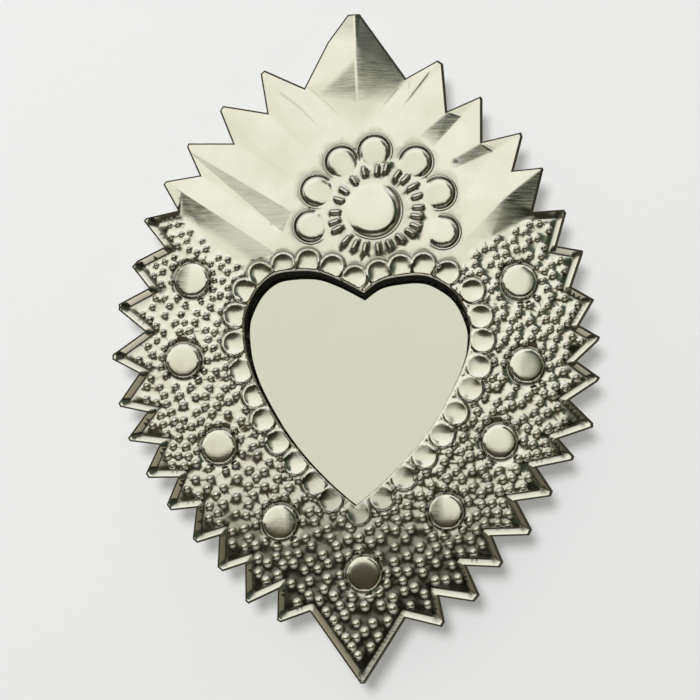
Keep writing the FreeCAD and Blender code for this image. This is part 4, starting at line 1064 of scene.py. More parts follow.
def steps_along(start, end, step, least=1):
    """How many steps divide a run, and never fewer than the least."""
    return max(least, round(np.linalg.norm(end - start) / step))


def join_lines(relief, spots):
    """Joined edges, as pairs of numbers of spots, along the outline, the heart and the folds."""
    joined = []

    def join(points):
        numbers = [spots.number(point) for point in points]
        joined.extend((first, second) for first, second in zip(numbers, numbers[1:])
                      if first != second)

    def join_run(start, end, count):
        join(divide(start, end, count) + [end])

    border = set()
    outline, burr = closed(relief.outline), closed(relief.burr)
    for place in range(len(relief.outline)):
        run = outline[place:place + 2]
        count = steps_along(*run, EDGE_STEP)
        join_run(*run, count)
        join_run(*burr[place:place + 2], count)
        border.add(frozenset(tuple(np.round(point, 3)) for point in run))
    join(closed(relief.heart))
    for start, end in zip(relief.crease[:-1], relief.crease[1:]):
        join_run(start, end, steps_along(start, end, CREASE_STEP))
    for start, end in relief.folds:
        if frozenset((tuple(np.round(start, 3)), tuple(np.round(end, 3)))) not in border:
            join_run(start, end, steps_along(start, end, FOLD_STEP))
    return joined


def places_beside_lines(relief):
    """Places on both sides of the folds, round the heart and along the pleats."""
    wished = []
    plan = BESIDE_FOLD
    for start, end in list(zip(relief.crease[:-1], relief.crease[1:])) + relief.folds:
        side = inward(start, end)
        for point in divide(start, end, steps_along(start, end, plan.step, 2))[1:]:
            wished += [(point + side * step, plan.gap) for step in (plan.offset, -plan.offset)]
    loop = relief.heart
    for before, point, after in zip(loop[-1:] + loop[:-1], loop, loop[1:] + loop[:1]):
        out = -inward(before, after)
        wished += [(point + out * step, BESIDE_HEART.gap) for step in BESIDE_HEART.offsets]
    plan = BESIDE_PLEAT
    for pleat in relief.pleats:
        for start, end in zip(pleat.line, pleat.line[1:]):
            way = -pleat.side * inward(start, end)
            for point in divide(start, end, steps_along(start, end, plan.step, 2)):
                wished += [(point + way * step, plan.gap)
                           for step in (*plan.offsets, *pleat.widths)]
    return wished


def places_on_dashes(relief):
    """Places along each dash of the flower and round its two ends."""
    radius = relief.sizes.dash_radius
    wished = []
    for centre in relief.dashes:
        out, half = relief.dash_axis(centre)
        wished += [(centre + half * step, LINE_GAP) for step in (-1, -0.33, 0.33, 1)]
        for ratio in DASH_FORM.ratios:
            for spoke in unit_circle(DASH_FORM.places, math.atan2(out[1], out[0])):
                end = half if spoke @ out > 1e-6 else -half
                wished.append((centre + end + spoke * radius * ratio, FORM_GAP))
            side = np.array((-out[1], out[0])) * radius * ratio
            for step in (-0.5, 0, 0.5):
                wished += [(centre + half * step + side, FORM_GAP),
                           (centre + half * step - side, FORM_GAP)]
    return wished


def places_on_forms(relief):
    """Places on bosses, petals, disc, dashes, scallops and pebbles: rings round their middles."""
    sizes = relief.sizes
    wished = []
    for centre in relief.bosses:
        wished.append((centre, FORM_GAP))
        for ratio, count in BOSS_FORM.rings:
            wished += ring(centre, sizes.boss_radius * ratio, count, BOSS_FORM.gap)
    plan = ROUND_FORM
    rounds = [(centre, sizes.petal_radius) for centre in relief.petals]
    for centre, radius in rounds + [(relief.flower, sizes.disc_radius)]:
        wished.append((centre, FORM_GAP))
        for ratio in plan.ratios:
            count = int(plan.inner_places * radius * ratio)
            wished += ring(centre, radius * ratio, count, plan.inner_gap)
        for past in plan.offsets:
            wished += ring(centre, radius + past, int(plan.outer_places * radius), plan.outer_gap)
    wished += places_on_dashes(relief)
    plan = CUP_FORM
    for centre in relief.cups:
        wished.append((centre, FORM_GAP))
        for ratio, count in plan.rings:
            wished += ring(centre, sizes.cup_radius * ratio, count, plan.inner_gap)
        for past in plan.offsets:
            wished += ring(centre, sizes.cup_radius + past, plan.places, plan.outer_gap)
    for centre, radius, rise in relief.pebbles:
        wished.append((centre, FORM_GAP))
        for ratio, count in PEBBLE_FORM.rings:
            wished += ring(centre, radius * ratio, count, FORM_GAP, 2 * ratio)
    return wished


def places_between(relief):
    """Places all over the sheet, in rows that are shifted a little at random."""
    plan = FIELD_GRID
    chance = random.Random(plan.seed)
    low, high = np.min(relief.outline, axis=0), np.max(relief.outline, axis=0)
    wished = []
    for row in range(int((high[1] - low[1]) / plan.step)):
        for column in range(int((high[0] - low[0]) / plan.step)):
            shift = np.array([chance.uniform(-plan.shift, plan.shift) for axis in range(2)])
            wished.append((low + np.array((column, row)) * plan.step + shift, plan.gap))
    return wished


def lay_out(relief):
    """Places and joined edges of the sheet's mesh, nowhere closer than its smallest step."""
    spots = Spots(SPOT_CELL)
    joined = join_lines(relief, spots)
    wished = places_beside_lines(relief) + places_on_forms(relief) + places_between(relief)
    places = np.array([place for place, gap in wished])
    good = inside(relief.burr, places) & ~inside(relief.heart, places)
    for line in (closed(relief.heart), closed(relief.burr), relief.crease):
        good &= line_distance(line, places) > LINE_GAP
    for (place, gap), keep in zip(wished, good):
        if keep:
            spots.add(place, gap)
    return spots.places, joined


def make_sheet_mesh(relief):
    """The whole embossed sheet: front, back and cut edges, with the painted shade of its crevices
    as an attribute.
    """
    places, joined = lay_out(relief)
    found = geometry.delaunay_2d_cdt([Vector(place) for place in places], joined, [], 0, 1e-4)
    flat = np.array([tuple(vertex) for vertex in found[0]])
    faces = np.array([tuple(face) for face in found[2]])
    middles = flat[faces].mean(axis=1)
    faces = faces[inside(relief.outline, middles) & ~inside(relief.heart, middles)]
    used = np.unique(faces)
    order = np.full(len(flat), -1)
    order[used] = np.arange(len(used))
    flat, faces = flat[used], order[faces]
    a, b, c = flat[faces[:, 0]], flat[faces[:, 1]], flat[faces[:, 2]]
    turned = (b[:, 0] - a[:, 0]) * (c[:, 1] - a[:, 1]) < (b[:, 1] - a[:, 1]) * (c[:, 0] - a[:, 0])
    faces[turned] = faces[turned][:, ::-1]
    lift, crevice_shade = relief.heights(flat)
    front = np.column_stack((flat[:, 0], SHEET_FRONT_Y - lift, flat[:, 1]))
    back = front.copy()
    back[:, 1] = np.minimum(back[:, 1] + SHEET_BACK_Y - SHEET_FRONT_Y,
                            np.where(relief.over_tray(flat), SHEET_BACK_Y,
                                     SHEET_BACK_Y + DEEPEST_BACK))
    count = len(flat)
    sides = np.concatenate((faces[:, (0, 1)], faces[:, (1, 2)], faces[:, (2, 0)]))
    pairs = {tuple(side) for side in sides}
    rim = np.array([side for side in pairs if (side[1], side[0]) not in pairs])
    walls = np.column_stack((rim[:, 1], rim[:, 0], rim[:, 0] + count, rim[:, 1] + count))
    to_heart = line_distance(closed(relief.heart), flat)
    on_burr = ~inside(relief.burr, flat[faces].mean(axis=1))
    wall_kinds = np.where(to_heart[rim].max(axis=1) < EDGE_ZONE, 0, 1)
    kinds = np.concatenate((on_burr.astype(int), np.full(len(faces), 2), wall_kinds))
    mesh = bpy.data.meshes.new("tin_sheet")
    mesh.from_pydata((np.concatenate((front, back)) * MM).tolist(), [],
                     faces.tolist() + (faces[:, ::-1] + count).tolist() + walls.tolist())
    mesh.polygons.foreach_set("material_index", kinds.astype(np.int32))
    attribute = mesh.attributes.new("crevice_shade", "FLOAT", "POINT")
    attribute.data.foreach_set("value", np.concatenate((crevice_shade, crevice_shade)).astype(np.float32))
    mesh.update()
    return mesh


def sharpen_borders(mesh):
    """Marks the edges between faces of different materials as sharp."""
    totals = np.empty(len(mesh.polygons), np.int32)
    kinds = np.empty(len(mesh.polygons), np.int32)
    edges = np.empty(len(mesh.loops), np.int32)
    mesh.polygons.foreach_get("loop_total", totals)
    mesh.polygons.foreach_get("material_index", kinds)
    mesh.loops.foreach_get("edge_index", edges)
    kinds = np.repeat(kinds, totals)
    least = np.full(len(mesh.edges), 99)
    most = np.full(len(mesh.edges), -1)
    np.minimum.at(least, edges, kinds)
    np.maximum.at(most, edges, kinds)
    sharp = np.zeros(len(mesh.edges), bool)
    mesh.edges.foreach_get("use_edge_sharp", sharp)
    mesh.edges.foreach_set("use_edge_sharp", sharp | (least != most))


def linear(code):
    """A colour written as #RRGGBB, as linear red, green and blue."""
    channels = [int(code[place:place + 2], 16) / 255 for place in (1, 3, 5)]
    return tuple(value / 12.92 if value <= 0.04045 else ((value + 0.055) / 1.055) ** 2.4
                 for value in channels)


def set_inputs(node, inputs):
    """Sets each input of a node to a value, or joins it to an output."""
    for name, value in inputs.items():
        if isinstance(value, bpy.types.NodeSocket):
            node.id_data.links.new(value, node.inputs[name])
        else:
            node.inputs[name].default_value = value


def add_node(tree, kind, inputs=None, **settings):
    """A node with its settings and its inputs."""
    node = tree.nodes.new(kind)
    for name, value in settings.items():
        setattr(node, name, value)
    set_inputs(node, inputs or {})
    return node


def compute(tree, operation, *values, clamp=False):
    """What an operation makes of values and outputs."""
    return add_node(tree, "ShaderNodeMath", dict(enumerate(values)), operation=operation,
                    use_clamp=clamp).outputs[0]


def start_material(name):
    """An empty material, its node tree, its shader and its object coordinates."""
    material = bpy.data.materials.new(name)
    material.use_nodes = True
    tree = material.node_tree
    tree.nodes.clear()
    shader = add_node(tree, "ShaderNodeBsdfPrincipled")
    output = add_node(tree, "ShaderNodeOutputMaterial", {"Surface": shader.outputs[0]})
    output.location = (300, 0)
    place = add_node(tree, "ShaderNodeTexCoord").outputs["Object"]
    return material, tree, shader, place


def grain(tree, place, grain_scale, detail=2.0, roughness=0.5):
    """Noise whose grain is 1 / scale metres along each axis."""
    moved = add_node(tree, "ShaderNodeMapping", {"Vector": place, "Scale": grain_scale})
    return add_node(tree, "ShaderNodeTexNoise",
                    {"Vector": moved.outputs[0], "Scale": 1.0, "Detail": detail,
                     "Roughness": roughness}).outputs["Fac"]


def spread(tree, value, low, high, first, last):
    """A value between low and high turned into one between first and last."""
    return add_node(tree, "ShaderNodeMapRange",
                    {"Value": value, "From Min": low, "From Max": high,
                     "To Min": first, "To Max": last}).outputs["Result"]


def combine(tree, share, first, second):
    """Mix of two colours or colour outputs."""
    return add_node(tree, "ShaderNodeMix", {0: share, 6: first, 7: second},
                    data_type="RGBA").outputs[2]


def solid(colour):
    """A colour with full opacity."""
    return (*colour[:3], 1.0)


def patch_shade_share(tree, place):
    """How much painted reflection and shade of the tin's dark patches lies at a place, 0 to 1."""
    result = 0.0
    for strength, lift, edges in SHADED_PATCHES:
        share = strength
        for start, end, softness in edges:
            start, end = plane_place(start, lift), plane_place(end, lift)
            way = inward(start, end)
            middle = float(start @ way)
            reach = add_node(tree, "ShaderNodeVectorMath", {0: place, 1: (way[0], 0.0, way[1])},
                             operation="DOT_PRODUCT").outputs["Value"]
            mask = spread(tree, reach, (middle - softness / 2) * MM, (middle + softness / 2) * MM,
                          0.0, 1.0)
            share = compute(tree, "MULTIPLY", share, mask)
        result = compute(tree, "MAXIMUM", result, share)
    return result


def add_bumps(tree, height, strength, depth, **others):
    """Fine relief of a finish, as deep as depth in metres."""
    inputs = {"Height": height, "Strength": strength, "Distance": depth, **others}
    return add_node(tree, "ShaderNodeBump", inputs).outputs[0]


def make_bright_tin(looks):
    """Bright tinplate: cream-white and rolled, with painted shade in its crevices and on its dark
    patches.
    """
    material, tree, shader, place = start_material("bright_tinplate")
    crevice_shade = add_node(tree, "ShaderNodeAttribute", attribute_name="crevice_shade").outputs["Fac"]
    patches = grain(tree, place, (70, 70, 70), 4.0)
    streaks = grain(tree, place, (25, 25, 1500), 3.0)
    dents = grain(tree, place, (220, 220, 220), 2.0)
    # Painted shade in creases, grooves and moats and on the pebbles, from the sheet's attribute
    shade_share = compute(tree, "MULTIPLY", crevice_shade,
                   spread(tree, patches, 0.3, 0.6, 0.8, looks.crevice_shade_strength), clamp=True)
    clean = combine(tree, spread(tree, patches, 0.35, 0.75, 0.0, 0.5),
                    solid(looks.tin_colour), solid(looks.tin_dull_colour))
    scratches = spread(tree, grain(tree, place, (140, 140, 1900), 3.0, 0.65), 0.3, 0.7, 0.6, 1.4)
    # Dark patches of painted reflection and shade, broken up by scratches; they also make the tin
    # rougher
    patch_shade = compute(tree, "MULTIPLY", patch_shade_share(tree, place), scratches, clamp=True)
    brushed_and_shaded = combine(tree, patch_shade, clean, solid(looks.patch_shade_colour))
    colour = combine(tree, shade_share, brushed_and_shaded, solid(looks.crevice_shade_colour))
    rough = spread(tree, patches, 0.3, 0.7, looks.tin_roughness * 0.8, looks.tin_roughness * 1.3)
    rough = compute(tree, "MULTIPLY_ADD", compute(tree, "ADD", shade_share, patch_shade), 0.16, rough)
    lines = add_bumps(tree, streaks, 0.35, 0.00002)
    set_inputs(shader, {"Metallic": 1.0, "Base Color": colour, "Roughness": rough,
                        "Normal": add_bumps(tree, dents, 0.3, 0.00007, Normal=lines)})
    return material


def make_plain_tin(name, colour, roughness):
    """Plain tinplate as on the back: greyer, with faint stains, scratches and no relief."""
    material, tree, shader, place = start_material(name)
    patches = grain(tree, place, (38, 38, 38), 6.0, 0.6)
    streaks = grain(tree, place, (30, 30, 1200), 3.0)
    scratches = spread(tree, grain(tree, place, (1500, 1500, 60), 2.0), 0.62, 0.72, 0.0, 0.4)
    dull = tuple(channel * share for channel, share in zip(colour[:3], (0.74, 0.71, 0.64)))
    dark = tuple(channel * 0.5 for channel in colour[:3])
    stained = combine(tree, spread(tree, patches, 0.4, 0.7, 0.0, 0.8), solid(colour), solid(dull))
    rough = spread(tree, patches, 0.3, 0.7, roughness * 0.7, roughness * 1.3)
    set_inputs(shader, {"Base Color": combine(tree, scratches, stained, solid(dark)),
                        "Roughness": rough, "Metallic": 1.0,
                        "Normal": add_bumps(tree, streaks, 0.3, 0.00005)})
    return material


def tray_tin(looks):
    """Plain tinplate of the tray and the hanger's strap, made when it is first asked for."""
    made = bpy.data.materials.get("tinplate_tray")
    return made or make_plain_tin("tinplate_tray", looks.tin_dull_colour, roughness=0.28)


def make_mirror(looks):
    """Silvered glass, slightly green, with faint specks of age."""
    material, tree, shader, place = start_material("silvered_glass")
    haze = grain(tree, place, (60, 60, 60), 3.0)
    tint = combine(tree, spread(tree, haze, 0.4, 0.8, 0.0, 0.25), solid(looks.mirror_colour),
                   solid(tuple(0.94 * value for value in looks.mirror_colour)))
    set_inputs(shader, {"Base Color": tint, "Metallic": 1.0, "Roughness": 0.02})
    return material


def make_grained(name, grain_scale, detail, codes, roughness, metallic=0.0, bump=0.0,
                 shares=(0.0, 1.0, 0.0, 1.0), rough_shares=(0.3, 0.7)):
    """A finish whose two colours are mixed by its grain, and its roughness too if it has two."""
    material, tree, shader, place = start_material(name)
    skin = grain(tree, place, grain_scale, detail)
    first, last = (solid(linear(code)) for code in codes)
    rough = spread(tree, skin, *rough_shares, *roughness) if len(roughness) > 1 else roughness[0]
    set_inputs(shader, {"Base Color": combine(tree, spread(tree, skin, *shares), first, last),
                        "Roughness": rough, "Metallic": metallic})
    if bump:
        set_inputs(shader, {"Normal": add_bumps(tree, skin, bump, 0.0002)})
    return material


def make_cut_edge():
    """The sheared edge and the narrow border inside it: dark with age, and darker still as painted
    shadow along the outline.
    """
    return make_grained("sheared_edge", (900, 900, 900), 2.0, ("#14120D", "#3A3528"), (0.7,))


def make_board():
    """Black painted fibreboard, whose black also stands in for the shade in the recess round the
    glass.
    """
    return make_grained("black_board", (700, 700, 700), 4.0, ("#080B08", "#1A1F19"), (0.75,),
                        bump=0.5)


def make_card():
    """Grey packing card with visible fibres."""
    return make_grained("grey_card", (1200, 1200, 300), 5.0, ("#8A8778", "#A9A594"), (0.9,))


def make_solder():
    """Soft solder: dull grey metal with a grainy skin."""
    return make_grained("soft_solder", (900, 900, 900), 4.0, ("#8E8E88", "#C4C3BA"), (0.3, 0.55),
                        metallic=1.0, bump=0.5)


def make_steel_wire():
    """Drawn steel wire, slightly rusty."""
    return make_grained("steel_wire", (350, 350, 350), 5.0, ("#B9B7AE", "#6E5238"), (0.28, 0.7),
                        metallic=1.0, shares=(0.5, 0.75, 0.0, 0.8), rough_shares=(0.45, 0.75))


def length(label, description, millimetres):
    """A length property whose default is given in millimetres."""
    return FloatProperty(name=label, description=description, default=millimetres * MM,
                         min=0.0, unit="LENGTH", precision=5)


def colour(label, description, code):
    """A colour property whose default is given as #RRGGBB."""
    return FloatVectorProperty(name=label, description=description, default=linear(code),
                               subtype="COLOR", size=3, min=0.0, max=1.0)


def factor(label, description, value):
    """A property between 0 and 1."""
    return FloatProperty(name=label, description=description, default=value, min=0.0, max=1.0,
                         subtype="FACTOR")


class TinMirrorSizes(bpy.types.PropertyGroup):
    """Sizes of the relief that is pressed into the sheet."""
    crease_drop: length("Crease depth", "Depth of the pressed line inside the teeth", 0.5)
    crease_width: length("Crease width", "How far the crease's wall reaches inward", 1.8)
    burr_width: length("Burr width", "Width of the sheared border of the sheet", 0.55)
    burr_drop: length("Burr drop", "How far the sheared border falls back", 0.25)
    pebble_radius: length("Pebble radius", "Radius of a punched pebble", 1.25)
    pebble_rise: length("Pebble rise", "Height of a pebble at the top of the field", 0.6)
    pebble_apart: length("Pebble distance", "Least gap between two pebbles", 0.3)
    pebble_shift: length("Pebble shift", "How far a pebble strays from its row", 0.45)
    pebble_gap: length("Pebble gap", "Gap from a pebble to folds and bosses", 0.2)
    boss_radius: length("Boss radius", "Radius of a round boss", 6.0)
    boss_rise: length("Boss rise", "Height of a round boss", 1.9)
    moat_width: length("Moat width", "Width of the dip round a boss", 2.4)
    moat_drop: length("Moat drop", "Depth of the dip round a boss", 0.45)
    field_wave: length("Field waviness", "Height of the pebbled ground's own waves", 0.2)
    petal_radius: length("Petal radius", "Radius of a petal", 5.4)
    petal_rise: length("Petal rise", "Height of a petal's outer side", 0.8)
    disc_radius: length("Flower middle radius", "Radius of the flower's middle", 9.4)
    disc_rise: length("Flower middle rise", "Height of the flower's middle", 0.9)
    dash_length: length("Dash length", "Length of a ray mark in the flower", 4.0)
    dash_radius: length("Dash half-width", "Half the width of a ray mark", 0.85)
    dash_rise: length("Dash rise", "Height of a ray mark", 0.7)
    cup_radius: length("Scallop radius", "Radius of a scallop round the heart", 3.85)
    solid_cup_radius: length("Solid scallop radius", "Radius of a scallop in the solid model",
                             2.95)
    cup_rise: length("Scallop rise", "Height of a scallop's rim", 0.65)
    cup_floor: length("Scallop floor", "Height of a scallop's lowest place", 0.05)
    roll_width: length("Rolled edge width", "Width of the heart's rolled edge", 0.7)
    roll_drop: length("Rolled edge drop", "How far the heart's edge rolls back", 0.5)
    ridge_flat: length("Ridge flat", "How far the top ray's ridge is pressed flat", 0.08)
    wave_rise: length("Waviness", "Height of the slow waves of the hand-worked sheet", 0.3)
    flange_reach: length("Flange reach", "From the glass to the tray's outer edge", 5.0)
    tray_clearance: length("Tray clearance", "From the glass to the tray's inner side", 0.5)
    tray_thickness: length("Tray thickness", "Thickness of the tray's tinplate", 0.5)
    fold_radius: length("Fold radius", "Radius of the tray's folds", 0.35)


class TinMirrorLooks(bpy.types.PropertyGroup):
    """Colours and finishes."""
    tin_colour: colour("Tin", "Clean tinplate", "#F3F2E9")
    tin_dull_colour: colour("Dull tin", "Tinplate where it is dull", "#E2DFCF")
    # The next three paint shade: the dark tone in creases, grooves, moats and on the pebbles, and
    # the dark patches that stand for reflections and shade
    crevice_shade_colour: colour("Crevice", "Grime in the pressed lines", "#191710")
    patch_shade_colour: colour("Brushed tin", "Tin where it is brushed dull", "#434A43")
    crevice_shade_strength: factor("Crevice grime", "How much grime lies in the pressed lines", 1.0)
    tin_roughness: factor("Tin roughness", "Roughness of the clean tinplate", 0.14)
    pebble_growth: factor("Pebble growth", "How much larger pebbles are at the sheet's point",
                          0.25)
    pebble_seed: IntProperty(name="Pebble seed", default=11, min=0,
                             description="Seed of the pebbles' random shifts")
    mirror_colour: colour("Mirror", "Tint of the silvered glass", "#E3E4DB")
    wall_colour: colour("Wall", "Wall behind the mirror", "#B2B3B4")
    wall_glow: factor("Wall glow", "Even light that the wall and the floor give off", 0.23)


def in_millimetres(group):
    """The lengths of a property group, in millimetres."""
    return SimpleNamespace(**{name: getattr(group, name) / MM
                              for name in type(group).__annotations__})


class TINMIRROR_OT_sheet(bpy.types.Operator):
    """Build the embossed tin sheet"""
    bl_idname = "tinmirror.sheet"
    bl_label = "Embossed Sheet"

    def execute(self, context):
        looks = context.scene.tin_mirror_looks
        relief = Relief(in_millimetres(context.scene.tin_mirror_sizes), looks.pebble_growth,
                        looks.pebble_seed)
        mesh = make_sheet_mesh(relief)
        sheet = bpy.data.objects.new("tin_sheet", mesh)
        context.scene.collection.objects.link(sheet)
        mesh.materials.append(make_bright_tin(looks))
        mesh.materials.append(make_cut_edge())
        mesh.materials.append(make_plain_tin("tinplate_back", looks.tin_dull_colour,
                                             roughness=0.3))
        mesh.shade_smooth()
        mesh.set_sharp_from_angle(angle=math.radians(SHEET_SHARP_ANGLE))
        sharpen_borders(mesh)
        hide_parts("front_sheet")
        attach(sheet, "frame")
        return {"FINISHED"}


class TINMIRROR_OT_tray(bpy.types.Operator):
    """Build the folded tray on the back"""
    bl_idname = "tinmirror.tray"
    bl_label = "Back Tray"

    def execute(self, context):
        sizes = context.scene.tin_mirror_sizes
        tray = fold_tray(context, sizes)
        add_bevel(tray, "fold", sizes.fold_radius, 3, TRAY_FOLD_ANGLE)
        thick = tray.modifiers.new("thickness", "SOLIDIFY")
        thick.thickness = sizes.tray_thickness
        thick.offset = 1.0
        thick.use_even_offset = True
        add_bevel(tray, "burr", TRAY_BURR * MM, 1, TRAY_BURR_ANGLE)
        for name in ("fold", "thickness", "burr"):
            bpy.ops.object.modifier_apply(modifier=name)
        bpy.ops.object.shade_smooth_by_angle(angle=math.radians(TRAY_SMOOTH_ANGLE))
        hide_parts("back_tray")
        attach(tray, "frame")
        tray.data.materials.clear()
        tray.data.materials.append(tray_tin(context.scene.tin_mirror_looks))
        return {"FINISHED"}


def add_bevel(piece, name, width, segments, angle):
    """A bevel of all edges that turn by more than an angle in degrees."""
    bevel = piece.modifiers.new(name, "BEVEL")
    bevel.width = width
    bevel.segments = segments
    bevel.limit_method = "ANGLE"
    bevel.angle_limit = math.radians(angle)


def fold_tray(context, sizes):
    """The tray's inner side: a blank with two cut corners, whose middle is drawn back."""
    low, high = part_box("back_tray")
    width, height = high.x - low.x, high.z - low.z
    bpy.ops.object.select_all(action="DESELECT")
    bpy.ops.mesh.primitive_plane_add(size=1.0, location=(0.0, 0.0, 0.0))
    tray = context.active_object
    tray.name = tray.data.name = "tray"
    bpy.ops.object.mode_set(mode="EDIT")
    bpy.ops.transform.rotate(value=math.pi / 2, orient_axis="X", center_override=(0, 0, 0))
    bpy.ops.transform.resize(value=(width, 1.0, height))
    bpy.ops.transform.translate(value=((low.x + high.x) / 2, SHEET_BACK_Y * MM,
                                       (low.z + high.z) / 2))
    corner = (width - 2 * sizes.flange_reach) * TRAY_CORNER_SHARE
    corner += sizes.flange_reach * (2 - math.sqrt(2))
    for side, end in ((-1, low.x), (1, high.x)):
        bpy.ops.mesh.select_all(action="SELECT")
        bpy.ops.mesh.bisect(plane_co=(end - side * corner, 0.0, low.z),
                            plane_no=(side, 0.0, -1.0), use_fill=False, clear_outer=True)
    bpy.ops.mesh.select_all(action="SELECT")
    bpy.ops.mesh.inset(thickness=sizes.flange_reach - sizes.tray_clearance, depth=0.0)
    bpy.ops.mesh.extrude_region_move(TRANSFORM_OT_translate={
        "value": (0.0, -SHEET_BACK_Y * MM - sizes.tray_thickness, 0.0)})
    bpy.ops.mesh.select_all(action="SELECT")
    bpy.ops.mesh.normals_make_consistent(inside=False)
    bpy.ops.object.mode_set(mode="OBJECT")
    middle = max(tray.data.polygons, key=lambda face: face.center.y)
    if middle.normal.y < 0:
        tray.data.flip_normals()
    return tray


class TINMIRROR_OT_finishes(bpy.types.Operator):
    """Give the plain pieces their finishes"""
    bl_idname = "tinmirror.finishes"
    bl_label = "Plain Pieces"

    def execute(self, context):
        looks = context.scene.tin_mirror_looks
        finishes = {"mirror_glass": make_mirror(looks), "spacer_board": make_board(),
                    "packing_card": make_card(),
                    "hanger_strap": tray_tin(looks), "hanging_ring": make_steel_wire()}
        solder = make_solder()
        for name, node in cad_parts.items():
            if name in ("front_sheet", "back_tray"):
                continue
            node.data.materials.clear()
            node.data.materials.append(finishes.get(name, solder))
        return {"FINISHED"}


class TINMIRROR_OT_stage(bpy.types.Operator):
    """Set the wall, the floor, the light and the camera"""
    bl_idname = "tinmirror.stage"
    bl_label = "Stage"

    def execute(self, context):
        set_camera(context)
        set_wall(context)
        set_studio(context)
        return {"FINISHED"}


def set_camera(context):
    """The camera stands where the photograph was taken from."""
    eye, ahead = view_axes()[:2]
    data = bpy.data.cameras.new("camera")
    data.sensor_width = 36.0
    data.lens = data.sensor_width * eye.length / FRAME_SIDE_PIXELS
    data.clip_start = 0.01
    camera = bpy.data.objects.new("camera", data)
    context.scene.collection.objects.link(camera)
    place = (eye - FRAME_ORIGIN) * MM_PER_PIXEL
    camera.location = Vector((place.x, place.y + SHEET_FRONT_Y, place.z)) * MM
    camera.rotation_euler = ahead.to_track_quat("-Z", "Y").to_euler()
    context.scene.camera = camera


def make_stage_plane(name, looks, corners):
    """A flat stage surface that glows a little; from behind, light and looks pass through."""
    mesh = bpy.data.meshes.new(name)
    mesh.from_pydata(corners, [], [tuple(range(len(corners)))])
    mesh.update()
    plane = bpy.data.objects.new(name, mesh)
    bpy.context.scene.collection.objects.link(plane)
    material = bpy.data.materials.new(name)
    material.use_nodes = True
    tree = material.node_tree
    tree.nodes.clear()
    paint = add_node(tree, "ShaderNodeBsdfDiffuse", {"Color": solid(looks.wall_colour)}).outputs[0]
    rays = add_node(tree, "ShaderNodeLightPath")
    direct = compute(tree, "ADD", rays.outputs["Is Camera Ray"], rays.outputs["Is Glossy Ray"])
    direct = compute(tree, "ADD", direct, rays.outputs["Is Transmission Ray"], clamp=True)
    strength = spread(tree, direct, 0.0, 1.0, 0.0, looks.wall_glow)
    lit = add_node(tree, "ShaderNodeEmission", {"Color": solid(GLOW_COLOUR),
                                                "Strength": strength}).outputs[0]
    paint = add_node(tree, "ShaderNodeAddShader", {0: paint, 1: lit}).outputs[0]
    clear = add_node(tree, "ShaderNodeBsdfTransparent").outputs[0]
    behind = add_node(tree, "ShaderNodeNewGeometry").outputs["Backfacing"]
    behind = compute(tree, "ADD", behind, rays.outputs["Transparent Depth"], clamp=True)
    shown = add_node(tree, "ShaderNodeMixShader", {0: behind, 1: paint, 2: clear})
    add_node(tree, "ShaderNodeOutputMaterial", {"Surface": shown.outputs[0]})
    mesh.materials.append(material)


def set_wall(context):
    """A plain pale wall just behind the piece, in two layers, and a pale floor below it."""
    looks = context.scene.tin_mirror_looks
    half, drop, front = WALL_HALF_WIDTH * MM, FLOOR_DROP * MM, (WALL_GAP - FLOOR_DEPTH) * MM
    back = WALL_GAP * MM
    for name, gap in (("wall", back), ("wall_behind", 2 * back)):
        make_stage_plane(name, looks, [(-half, gap, -drop), (half, gap, -drop),
                                       (half, gap, half), (-half, gap, half)])
    make_stage_plane("floor", looks, [(-half, front, -drop), (half, front, -drop),
                                      (half, back, -drop), (-half, back, -drop)])


def share_of_angle(angle, limit):
    """An angle in degrees as a share of the way from minus its limit to its limit."""
    return (angle + limit) / (2 * limit)


def make_ramp(tree, value, stops, limit):
    """Colours by angle: stops are (degrees, colour)."""
    ramp = add_node(tree, "ShaderNodeValToRGB", {"Fac": value})
    while len(ramp.color_ramp.elements) < len(stops):
        ramp.color_ramp.elements.new(0.5)
    for element, (angle, shade) in zip(ramp.color_ramp.elements, stops):
        element.position = share_of_angle(angle, limit)
        element.color = (*shade, 1.0)
    return ramp.outputs["Color"]


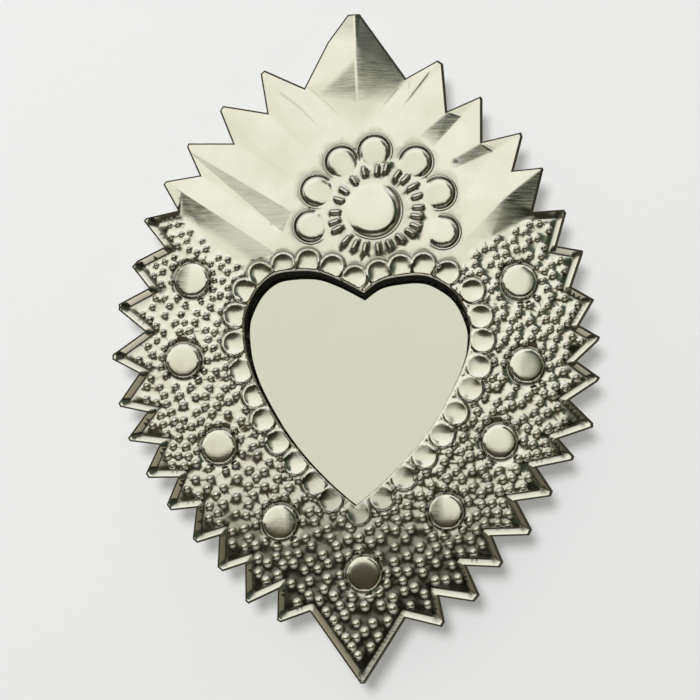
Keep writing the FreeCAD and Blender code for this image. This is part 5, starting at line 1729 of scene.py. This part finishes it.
def set_studio(context):
    """A soft studio: pale above and in front, brown below, dim at both sides, and one lamp.
    Whoever looks through both layers of the wall from behind sees plain surroundings."""
    world = bpy.data.worlds.new("studio")
    context.scene.world = world
    world.use_nodes = True
    tree = world.node_tree
    tree.nodes.clear()
    way = add_node(tree, "ShaderNodeTexCoord").outputs["Generated"]
    parts = add_node(tree, "ShaderNodeSeparateXYZ", {"Vector": way})
    height = compute(tree, "ARCSINE", parts.outputs["Z"])
    height = spread(tree, height, -math.pi / 2, math.pi / 2, 0.0, 1.0)
    front = compute(tree, "MULTIPLY", parts.outputs["Y"], -1.0)
    turn = spread(tree, compute(tree, "ARCTAN2", parts.outputs["X"], front), -math.pi, math.pi,
                  0.0, 1.0)
    room = make_ramp(tree, height, ROOM_BY_HEIGHT, 90)
    across = make_ramp(tree, turn, ROOM_BY_TURN, 180)
    shaded = add_node(tree, "ShaderNodeMix", {0: 1.0, 6: room, 7: across},
                      data_type="RGBA", blend_type="MULTIPLY").outputs[2]
    limits = [share_of_angle(angle, 90) for angle in EVEN_ABOVE]
    high = spread(tree, height, *limits, 0.0, 1.0)
    seen = combine(tree, high, shaded, room)
    for sides, heights, shade in ROOM_SHAPES:
        sides = [share_of_angle(angle, 180) for angle in sides]
        heights = [share_of_angle(angle, 90) for angle in heights]
        parts = [compute(tree, "POWER", spread(tree, value, *limits, -1.0, 1.0), SHAPE_POWER)
                 for value, limits in ((turn, sides), (height, heights))]
        off = compute(tree, "ADD", *parts)
        seen = combine(tree, spread(tree, off, *SHAPE_EDGE, 1.0, 0.0), seen, solid(shade))
    plain = combine(tree, spread(tree, height, *BEHIND_SHARES, 0.0, 1.0),
                    solid(BEHIND_LOW_COLOUR), solid(BEHIND_HIGH_COLOUR))
    plain = combine(tree, spread(tree, front, *BACKDROP_SHARES, 0.0, 1.0), plain,
                    solid(BACKDROP_COLOUR))
    passed = add_node(tree, "ShaderNodeLightPath").outputs["Transparent Depth"]
    passed = compute(tree, "SUBTRACT", passed, 1.0, clamp=True)
    seen = combine(tree, passed, seen, plain)
    glow = add_node(tree, "ShaderNodeBackground", {"Color": seen, "Strength": 1.0})
    add_node(tree, "ShaderNodeOutputWorld", {"Surface": glow.outputs[0]})
    set_lamp(context)


def set_lamp(context):
    """One soft lamp on the upper left, aimed at the origin, that the tin doesn't mirror."""
    data = bpy.data.lights.new("soft_lamp", "AREA")
    data.shape = "DISK"
    data.size = LAMP_WIDTH * MM
    data.energy = LAMP_POWER
    lamp = bpy.data.objects.new("soft_lamp", data)
    context.scene.collection.objects.link(lamp)
    lamp.location = Vector(LAMP_PLACE) * MM
    lamp.visible_glossy = False
    lamp.rotation_euler = (-lamp.location).to_track_quat("-Z", "Y").to_euler()


class TINMIRROR_PT_panel(bpy.types.Panel):
    """Steps and sizes of the tin mirror"""
    bl_idname = "TINMIRROR_PT_panel"
    bl_label = "Tin Heart Mirror"
    bl_space_type = "VIEW_3D"
    bl_region_type = "UI"
    bl_category = "Tin Mirror"

    def draw(self, context):
        for step in STEPS:
            self.layout.operator(step.bl_idname)
        for group in (context.scene.tin_mirror_sizes, context.scene.tin_mirror_looks):
            box = self.layout.box()
            for name in type(group).__annotations__:
                box.prop(group, name)


STEPS = (TINMIRROR_OT_sheet, TINMIRROR_OT_tray, TINMIRROR_OT_finishes, TINMIRROR_OT_stage)
CLASSES = (TinMirrorSizes, TinMirrorLooks) + STEPS + (TINMIRROR_PT_panel,)


def register():
    for cls in CLASSES:
        bpy.utils.register_class(cls)
    bpy.types.Scene.tin_mirror_sizes = PointerProperty(type=TinMirrorSizes)
    bpy.types.Scene.tin_mirror_looks = PointerProperty(type=TinMirrorLooks)


def unregister():
    del bpy.types.Scene.tin_mirror_sizes
    del bpy.types.Scene.tin_mirror_looks
    for cls in reversed(CLASSES):
        bpy.utils.unregister_class(cls)


def main():
    register()
    bpy.ops.tinmirror.sheet()
    bpy.ops.tinmirror.tray()
    bpy.ops.tinmirror.finishes()
    bpy.ops.tinmirror.stage()
    bpy.context.scene.view_settings.view_transform = "Standard"


if __name__ == "__main__":
    main()
